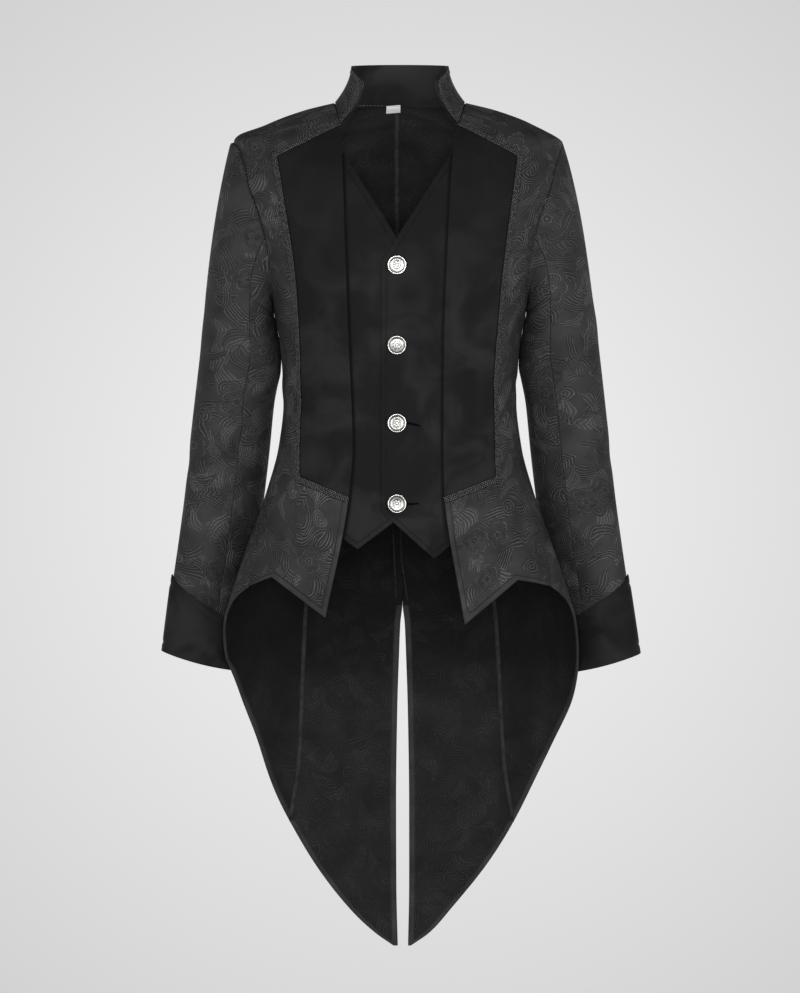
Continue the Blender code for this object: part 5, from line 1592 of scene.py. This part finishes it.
def brocade(name, ground, satin, relief, rough, shadow, specks, hem_tone=1.0, shade_under_cover=1.0, neck=1.0):
    """Brocade, woven: satin floats stand up in scrolls from a matt twill ground and catch the light, their
    lighter colour partly their own and partly a painted sheen, with a painted shadow beside each, while its
    reverse is flat, dull and dark, with flecks where short floats cross it. The turned and pressed hem is
    plainer, with its own tone. Away from the hem, shade is painted darker where the waistcoat and the flaps
    hang before the cloth, and light is painted brighter at the neck."""
    made, tree, shader = new_finish(name)
    place, line, full = brocade_design(tree)
    from_hem = add(tree, "Attribute", attribute_name="from_hem").outputs["Fac"]
    past_hem = add(tree, "MapRange", {0: from_hem, 1: HEM_WIDTH - 0.001, 2: HEM_WIDTH + 0.0005})
    plainer = add(tree, "MapRange", {0: past_hem, 3: 0.3, 4: 1.0})
    hemmed = add(tree, "MapRange", {0: past_hem, 3: hem_tone, 4: 1.0})
    line = add(tree, "Math", {0: line, 1: plainer}, operation="MULTIPLY")
    full = add(tree, "Math", {0: full, 1: plainer}, operation="MULTIPLY")
    # The satin is rubbed off in patches about 50 mm across
    worn = add(tree, "TexNoise", {"Vector": place, "Scale": 19.0, "Detail": 2.0})
    worn = add(tree, "MapRange", {0: worn, 1: 0.34, 2: 0.54, 3: 0.35, 4: 1.0})
    # Threads lie 0.3 mm apart, too fine to show, so the grain is drawn at 1.8 mm
    grain = add(tree, "TexNoise", {"Vector": place, "Scale": 560.0, "Detail": 1.0})
    floats = add(tree, "MapRange", {0: grain, 1: 0.36, 2: 0.60, 3: 0.45, 4: 1.15})
    # Where the satin shows, the colour goes from ground to satin: partly the satin's own colour, partly a
    # painted sheen
    light = add(tree, "MapRange", {0: line, 1: 0.40, 2: 1.0}, interpolation_type="SMOOTHSTEP")
    light = add(tree, "Math", {0: light, 1: worn}, operation="MULTIPLY")
    light = add(tree, "Math", {0: full, 1: 0.35, 2: light}, operation="MULTIPLY_ADD")
    light = add(tree, "Math", {0: light, 1: floats}, operation="MULTIPLY", use_clamp=True)
    colour = add(tree, "Mix", {0: light, 6: paint(ground), 7: paint(satin)}, data_type="RGBA")
    # Painted shadow: the tone falls beside each line, by the shadow share at its darkest
    inputs = {0: line, 1: -0.30, 2: -1.0, 3: 1.0, 4: 1.0 - shadow}
    dark = add(tree, "MapRange", inputs, interpolation_type="SMOOTHSTEP")
    # The ground is mottled every 40 mm or so, and the flecks come in patches of 90 mm
    mottle = add(tree, "TexNoise", {"Vector": place, "Scale": 24.0, "Detail": 3.0})
    mottle = add(tree, "MapRange", {0: mottle, 1: 0.3, 2: 0.7, 3: 0.66, 4: 1.36})
    fleck = add(tree, "MapRange", {0: grain, 1: 0.3, 2: 0.7, 3: 1.0 - specks, 4: 1.0 + specks})
    patch = add(tree, "TexNoise", {"Vector": place, "Scale": 11.0, "Detail": 2.0})
    patch = add(tree, "MapRange", {0: patch, 1: 0.42, 2: 0.62, 3: 0.35, 4: 1.0})
    fleck = add(tree, "Mix", {0: patch, 2: 1.0, 3: fleck})
    groove = hem_groove(tree)
    # Painted shade in the stitch groove, down to half the tone
    groove_shade = add(tree, "MapRange", {0: groove, 3: 1.0, 4: 0.5})
    tone = add(tree, "Math", {0: mottle, 1: fleck}, operation="MULTIPLY")
    # Painted shade and light by height: darker from 0.40 to 0.74 m down, where the waistcoat and the flaps hang
    # before the cloth, fading out by 0.81 m, and lighter above 0.22 m down at the neck, by the factors given;
    # none on the hem band
    height = add(tree, "TexCoord").outputs["Object"]
    height = add(tree, "SeparateXYZ", {0: height}).outputs["Z"]
    painted_light_and_shade = add(tree, "MapRange", {0: height, 1: -0.81, 2: -0.74, 3: 1.0, 4: shade_under_cover})
    painted_light_and_shade = add(tree, "MapRange", {0: height, 1: -0.40, 2: -0.22, 3: painted_light_and_shade, 4: neck})
    painted_light_and_shade = add(tree, "MapRange", {0: past_hem, 3: 1.0, 4: painted_light_and_shade})
    for part in (dark, groove_shade, hemmed, painted_light_and_shade):
        tone = add(tree, "Math", {0: tone, 1: part}, operation="MULTIPLY")
    colour = add(tree, "VectorMath", {0: colour.outputs[2], "Scale": tone}, operation="SCALE")
    height = add(tree, "Math", {0: grain, 1: 0.25, 2: line}, operation="MULTIPLY_ADD")
    height = add(tree, "Math", {0: groove, 1: -1.4, 2: height}, operation="MULTIPLY_ADD")
    bump = add(tree, "Bump", {"Height": height, "Distance": relief, "Strength": 1.0})
    gloss = add(tree, "MapRange", {0: light, 3: rough, 4: rough - 0.2})
    looks = {"Base Color": colour, "Roughness": gloss, "Normal": bump, "Specular IOR Level": 0.20}
    plug(tree, shader, looks)
    return made


def velvet(name, pile, brushed):
    """Cotton velvet, woven with a cut pile: almost black face on, with a pale bloom where the pile leans away,
    and soft clouds where a hand has brushed it, dimmed by painted shade about chest height. A shadow is painted
    dark for a few millimetres beside an edge that lies over it, and shade in the stitch groove."""
    made, tree, shader = new_finish(name)
    place = add(tree, "TexCoord")
    # The clouds are about 65 mm across, and the streaks 17 mm wide and 110 mm long
    inputs = {"Vector": place.outputs["Object"], "Scale": 15.0, "Detail": 3.0, "Distortion": 0.7}
    cloud = add(tree, "TexNoise", inputs)
    cloud = add(tree, "MapRange", {0: cloud, 1: 0.36, 2: 0.66}, interpolation_type="SMOOTHSTEP")
    streak = add(tree, "Mapping", {0: place.outputs["Object"], 3: (60.0, 60.0, 9.0)})
    streak = add(tree, "TexNoise", {"Vector": streak, "Scale": 1.0, "Detail": 2.0})
    # The pile is 0.1 mm, too fine to show, so it is drawn at 1 mm
    tuft = add(tree, "TexNoise", {"Vector": place.outputs["Object"], "Scale": 950.0, "Detail": 1.0})
    mixed = add(tree, "Math", {0: streak, 1: 0.35, 2: cloud}, operation="MULTIPLY_ADD")
    mixed = add(tree, "Math", {0: mixed, 1: 0.17}, operation="SUBTRACT", use_clamp=True)
    # Painted shade: the clouds are dimmed to 0.3 within 40 mm of a height 0.11 m below the origin, and are full
    # from 180 mm away
    height = add(tree, "SeparateXYZ", {0: place.outputs["Object"]})
    from_chest = add(tree, "Math", {0: height.outputs["Z"], 1: 0.11}, operation="ADD")
    from_chest = add(tree, "Math", {0: from_chest}, operation="ABSOLUTE")
    chest_shade = add(tree, "MapRange", {0: from_chest, 1: 0.04, 2: 0.18, 3: 0.30, 4: 1.0})
    mixed = add(tree, "Math", {0: mixed, 1: chest_shade}, operation="MULTIPLY")
    colour = add(tree, "Mix", {0: mixed, 6: paint(pile), 7: paint(brushed)}, data_type="RGBA")
    groove = hem_groove(tree)
    # Painted shade in the stitch groove, down to 0.4 of the tone
    dark = add(tree, "MapRange", {0: groove, 3: 1.0, 4: 0.4})
    fleck = add(tree, "MapRange", {0: tuft, 1: 0.3, 2: 0.7, 3: 0.84, 4: 1.16})
    tone = add(tree, "Math", {0: dark, 1: fleck}, operation="MULTIPLY")
    # Painted shadow of the edge that lies over the cloth: down to 0.12 within 2 mm of it, none past 6.5 mm
    from_cover = add(tree, "Attribute", attribute_name="from_cover").outputs["Fac"]
    inputs = {0: from_cover, 1: 0.0020, 2: 0.0065, 3: 0.12, 4: 1.0}
    edge_shadow = add(tree, "MapRange", inputs, interpolation_type="SMOOTHSTEP")
    tone = add(tree, "Math", {0: tone, 1: edge_shadow}, operation="MULTIPLY")
    colour = add(tree, "VectorMath", {0: colour.outputs[2], "Scale": tone}, operation="SCALE")
    height = add(tree, "Math", {0: tuft, 1: 0.10, 2: cloud}, operation="MULTIPLY_ADD")
    height = add(tree, "Math", {0: groove, 1: -1.2, 2: height}, operation="MULTIPLY_ADD")
    bump = add(tree, "Bump", {"Height": height, "Distance": 0.0007, "Strength": 0.9})
    looks = {"Base Color": colour, "Roughness": 0.82, "Normal": bump, "Specular IOR Level": 0.18}
    plug(tree, shader, looks)
    plug(tree, shader, {"Sheen Weight": 0.24, "Sheen Roughness": 0.38, "Sheen Tint": paint("#8a8a8a")})
    return made


def spun_thread(name, dark, light, rough, gleam=0.3):
    """Rayon thread, twisted: fine ridges with a dull gleam on each, or hardly any where it is matt."""
    made, tree, shader = new_finish(name)
    place = add(tree, "TexCoord")
    # A ply is 0.4 mm, too fine to show, so it is drawn at 1.6 mm
    ply = add(tree, "TexNoise", {"Vector": place.outputs["Object"], "Scale": 640.0, "Detail": 1.0})
    share = add(tree, "MapRange", {0: ply, 1: 0.40, 2: 0.60})
    colour = add(tree, "Mix", {0: share, 6: paint(dark), 7: paint(light)}, data_type="RGBA")
    bump = add(tree, "Bump", {"Height": ply, "Distance": 0.0002, "Strength": 0.6})
    looks = {"Base Color": colour.outputs[2], "Roughness": rough, "Normal": bump, "Specular IOR Level": gleam}
    plug(tree, shader, looks)
    return made


def twill_tape(name, dark, light):
    """Cotton seam tape, woven in twill and faded: a matt grey with a slanting rib and pale rubbed spots."""
    made, tree, shader = new_finish(name)
    place = add(tree, "TexCoord")
    slant = add(tree, "Mapping", {0: place.outputs["Object"], 2: (0.0, 0.8, 0.0)})
    # The rib is 0.8 mm, too fine to show, so it is drawn at 2 mm
    rib = add(tree, "TexWave", {"Vector": slant, "Scale": 160.0, "Distortion": 1.5}, bands_direction="Z")
    rubbed = add(tree, "TexNoise", {"Vector": place.outputs["Object"], "Scale": 120.0, "Detail": 3.0})
    share = add(tree, "Math", {0: rib, 1: 0.4, 2: rubbed}, operation="MULTIPLY_ADD")
    share = add(tree, "MapRange", {0: share, 1: 0.45, 2: 0.95})
    colour = add(tree, "Mix", {0: share, 6: paint(dark), 7: paint(light)}, data_type="RGBA")
    bump = add(tree, "Bump", {"Height": rib, "Distance": 0.0002, "Strength": 0.6})
    looks = {"Base Color": colour.outputs[2], "Roughness": 0.9, "Normal": bump, "Specular IOR Level": 0.15}
    plug(tree, shader, looks)
    return made


def plated_metal(name, hollows, raised_parts):
    """Pressed brass, silver plated and worn: bright on what stands up, with a grey bloom left in the
    hollows."""
    made, tree, shader = new_finish(name)
    place = add(tree, "TexCoord")
    # The bloom lies in spots of 2.4 mm
    bloom = add(tree, "TexNoise", {"Vector": place.outputs["Object"], "Scale": 420.0, "Detail": 3.0})
    sharpness = add(tree, "NewGeometry").outputs["Pointiness"]
    raised = add(tree, "MapRange", {0: sharpness, 1: 0.47, 2: 0.52})
    colour = add(tree, "Mix", {0: raised, 6: paint(hollows), 7: paint(raised_parts)}, data_type="RGBA")
    rough = add(tree, "MapRange", {0: bloom, 1: 0.3, 2: 0.7, 3: 0.20, 4: 0.42})
    bump = add(tree, "Bump", {"Height": bloom, "Distance": 0.00008, "Strength": 0.5})
    looks = {"Base Color": colour.outputs[2], "Roughness": rough, "Normal": bump, "Metallic": 1.0}
    plug(tree, shader, looks)
    return made


def woven_tape(name):
    """White polyester label tape, woven plain: a faint rib across it and a slight shine."""
    made, tree, shader = new_finish(name)
    place = add(tree, "UVMap", uv_map="cloth")
    # The rib is 0.3 mm, too fine to show, so it is drawn at 1.7 mm
    rib = add(tree, "TexWave", {"Vector": place, "Scale": 180.0, "Distortion": 0.4}, bands_direction="Y")
    tone = add(tree, "Mix", {0: rib, 6: paint("#e4e6e4"), 7: paint("#fbfcfb")}, data_type="RGBA")
    bump = add(tree, "Bump", {"Height": rib, "Distance": 0.0001, "Strength": 0.5})
    plug(tree, shader, {"Base Color": tone.outputs[2], "Roughness": 0.55, "Normal": bump})
    return made


# Studio

VIEW_DISTANCE = 7.0
VIEW_HEIGHT = -0.5273
FRAME_WIDTH = 1.072
SENSOR = 36.0
FLOOR_HEIGHT = -1.75
FLOOR_RADIUS = 3.2
FLOOR_SIDES = 72
# Soft boxes, each with its place, its width and height, and its power
SOFT_BOXES = {
    "key": ((-2.4, -3.2, 0.3), (1.6, 1.6), 38),
    "fill": ((2.4, -3.2, 0.0), (1.6, 1.8), 50),
    "front": ((0.0, -5.2, -0.3), (1.4, 1.4), 120),
}


def make_camera():
    """A long lens straight in front of the coat."""
    data = bpy.data.cameras.new("camera")
    data.sensor_fit = "HORIZONTAL"
    data.sensor_width = SENSOR
    data.lens = SENSOR * VIEW_DISTANCE / FRAME_WIDTH
    camera = bpy.data.objects.new("camera", data)
    camera.location = (0, -VIEW_DISTANCE, VIEW_HEIGHT)
    camera.rotation_euler = (np.pi / 2, 0, 0)
    bpy.context.scene.collection.objects.link(camera)
    bpy.context.scene.camera = camera


def make_light(name, place, size, power):
    """A flat soft box at a place, turned towards the middle of the coat."""
    data = bpy.data.lights.new(name, "AREA")
    data.shape = "RECTANGLE"
    data.size, data.size_y = size
    data.energy = power
    made = bpy.data.objects.new(name, data)
    made.location = place
    way = np.array([0, 0, VIEW_HEIGHT]) - place
    pitch = np.arctan2(np.hypot(way[0], way[1]), -way[2])
    made.rotation_euler = (pitch, 0, np.pi + np.arctan2(way[0], -way[1]))
    bpy.context.scene.collection.objects.link(made)


def make_studio():
    """Pale paper all round, a little brighter behind the coat, under a dark ceiling, soft boxes mostly in
    front, and a floor that fades into the paper."""
    world = bpy.data.worlds.new("studio")
    bpy.context.scene.world = world
    world.use_nodes = True
    tree = world.node_tree
    back = tree.nodes["Background"]
    way = add(tree, "TexCoord")
    off = add(tree, "VectorMath", {0: way.outputs["Generated"], 1: (0.0, 1.0, 0.0)}, operation="DISTANCE")
    glow = add(tree, "MapRange", {0: off.outputs["Value"], 1: 0.028, 2: 0.125})
    paper = add(tree, "Mix", {0: glow, 6: paint("#ececec"), 7: paint("#d1d1d1")}, data_type="RGBA")
    upward = add(tree, "SeparateXYZ", {0: way.outputs["Generated"]})
    ceiling = add(tree, "MapRange", {0: upward.outputs["Z"], 1: 0.20, 2: 0.60})
    paper = add(tree, "Mix", {0: ceiling, 6: paper.outputs[2], 7: paint("#4c4c4c")}, data_type="RGBA")
    plug(tree, back, {"Color": paper.outputs[2], "Strength": 1.0})
    for name, box in SOFT_BOXES.items():
        make_light(name, *box)

    made, tree, shader = new_finish("studio_paper")
    place = add(tree, "TexCoord")
    flat = add(tree, "Mapping", {0: place.outputs["Object"], 3: (1.0, 1.0, 0.0)})
    away = add(tree, "VectorMath", {0: flat}, operation="LENGTH")
    inputs = {0: away.outputs["Value"], 1: FLOOR_RADIUS, 2: FLOOR_RADIUS * 0.2}
    fade = add(tree, "MapRange", inputs, interpolation_type="SMOOTHSTEP")
    plug(tree, shader, {"Base Color": paint("#d6d6d6"), "Roughness": 0.95, "Alpha": fade})
    angle = all_round(FLOOR_SIDES)
    rim = np.stack([np.cos(angle), np.sin(angle), 0 * angle], axis=-1) * FLOOR_RADIUS + [0, 0, FLOOR_HEIGHT]
    mesh_object("floor", rim, [list(range(FLOOR_SIDES))], [made])
    bpy.context.scene.view_settings.view_transform = "Standard"


def main():
    """The finishes first, then each piece of the coat, and the studio last."""
    make_camera()
    outside = {"relief": 0.0004, "rough": 0.66}
    # On the reverse, shade is painted darker, to 0.35, below the waistcoat and the flaps
    inside = {"relief": 0.0002, "rough": 0.88, "shadow": 0.10, "specks": 0.50, "shade_under_cover": 0.35}
    face = brocade("woven_brocade", "#292929", "#4e4e4d", shadow=0.34, specks=0.14, **outside)
    # A copy for the sleeves and the collar with dimmer satin, so less painted sheen, and a fainter painted
    # shadow beside its lines
    dimmer_face = brocade("dimmer_brocade", "#292929", "#474746", shadow=0.28, specks=0.16, **outside)
    # The reverse is painted 1.7 times lighter at the neck, as painted light
    reverse = brocade("brocade_reverse", "#171717", "#1f1f1f", hem_tone=2.8, neck=1.7, **inside)
    # A darker copy of the reverse for the side backs: painted shade where they turn away from the front
    side_reverse_painted_shade = brocade("side_back_reverse_painted_shade", "#141414", "#1b1b1b", hem_tone=3.2, **inside)
    cut_velvet = velvet("cut_velvet", "#0c0c0c", "#1e1e1e")
    # A lighter copy of the velvet for the collar's inside: painted highlight
    collar_velvet_painted_highlight = velvet("collar_velvet_painted_highlight", "#141414", "#2a2a2a")
    cord = spun_thread("gimp_cord", "#202020", "#505050", 0.7)
    braid = cord, spun_thread("gimp_ground", "#040404", "#0a0a0a", 0.9, 0.12)
    hole_thread_and_slit_shade = spun_thread("buttonhole_thread_and_slit_shade", "#020202", "#080808", 0.9, 0.05)
    thread = spun_thread("black_thread", "#1c1c1c", "#3a3a3a", 0.6)
    loose_thread = spun_thread("grey_thread", "#6a6a68", "#8c8c8a", 0.6)
    seam_tape = twill_tape("seam_tape", "#202020", "#444443")
    side_tape = twill_tape("side_seam_tape", "#191919", "#333332")
    silver = plated_metal("silver_plate", "#62625f", "#f0f0ee")
    rubbed_silver = plated_metal("rubbed_silver_plate", "#52524f", "#d6d6d3")
    label_tape = woven_tape("label_tape")

    for side in ("right", "left"):
        make_back_centre(side, (face, reverse), thread, seam_tape, side_tape)
        make_back_side(side, (face, side_reverse_painted_shade), thread, side_tape)
        make_front(side, (face, reverse), thread)
        make_velvet_panel(side, (cut_velvet, cut_velvet))
        make_waistcoat(side, (cut_velvet, reverse), thread)
        make_sleeve(side, (dimmer_face, reverse))
        make_cuff(side, (cut_velvet, cut_velvet))
        make_braid_front(side, braid)
    collar, out = make_collar((dimmer_face, reverse), (collar_velvet_painted_highlight, collar_velvet_painted_highlight), loose_thread)
    for side in ("right", "left"):
        make_braid_collar(side, collar, out, braid)
    for number, drop in enumerate(BUTTON_DROPS, 1):
        make_button(number, drop, silver if number == 1 else rubbed_silver)
        make_buttonhole(number, drop, hole_thread_and_slit_shade)
    make_label(label_tape, loose_thread)
    make_studio()


main()
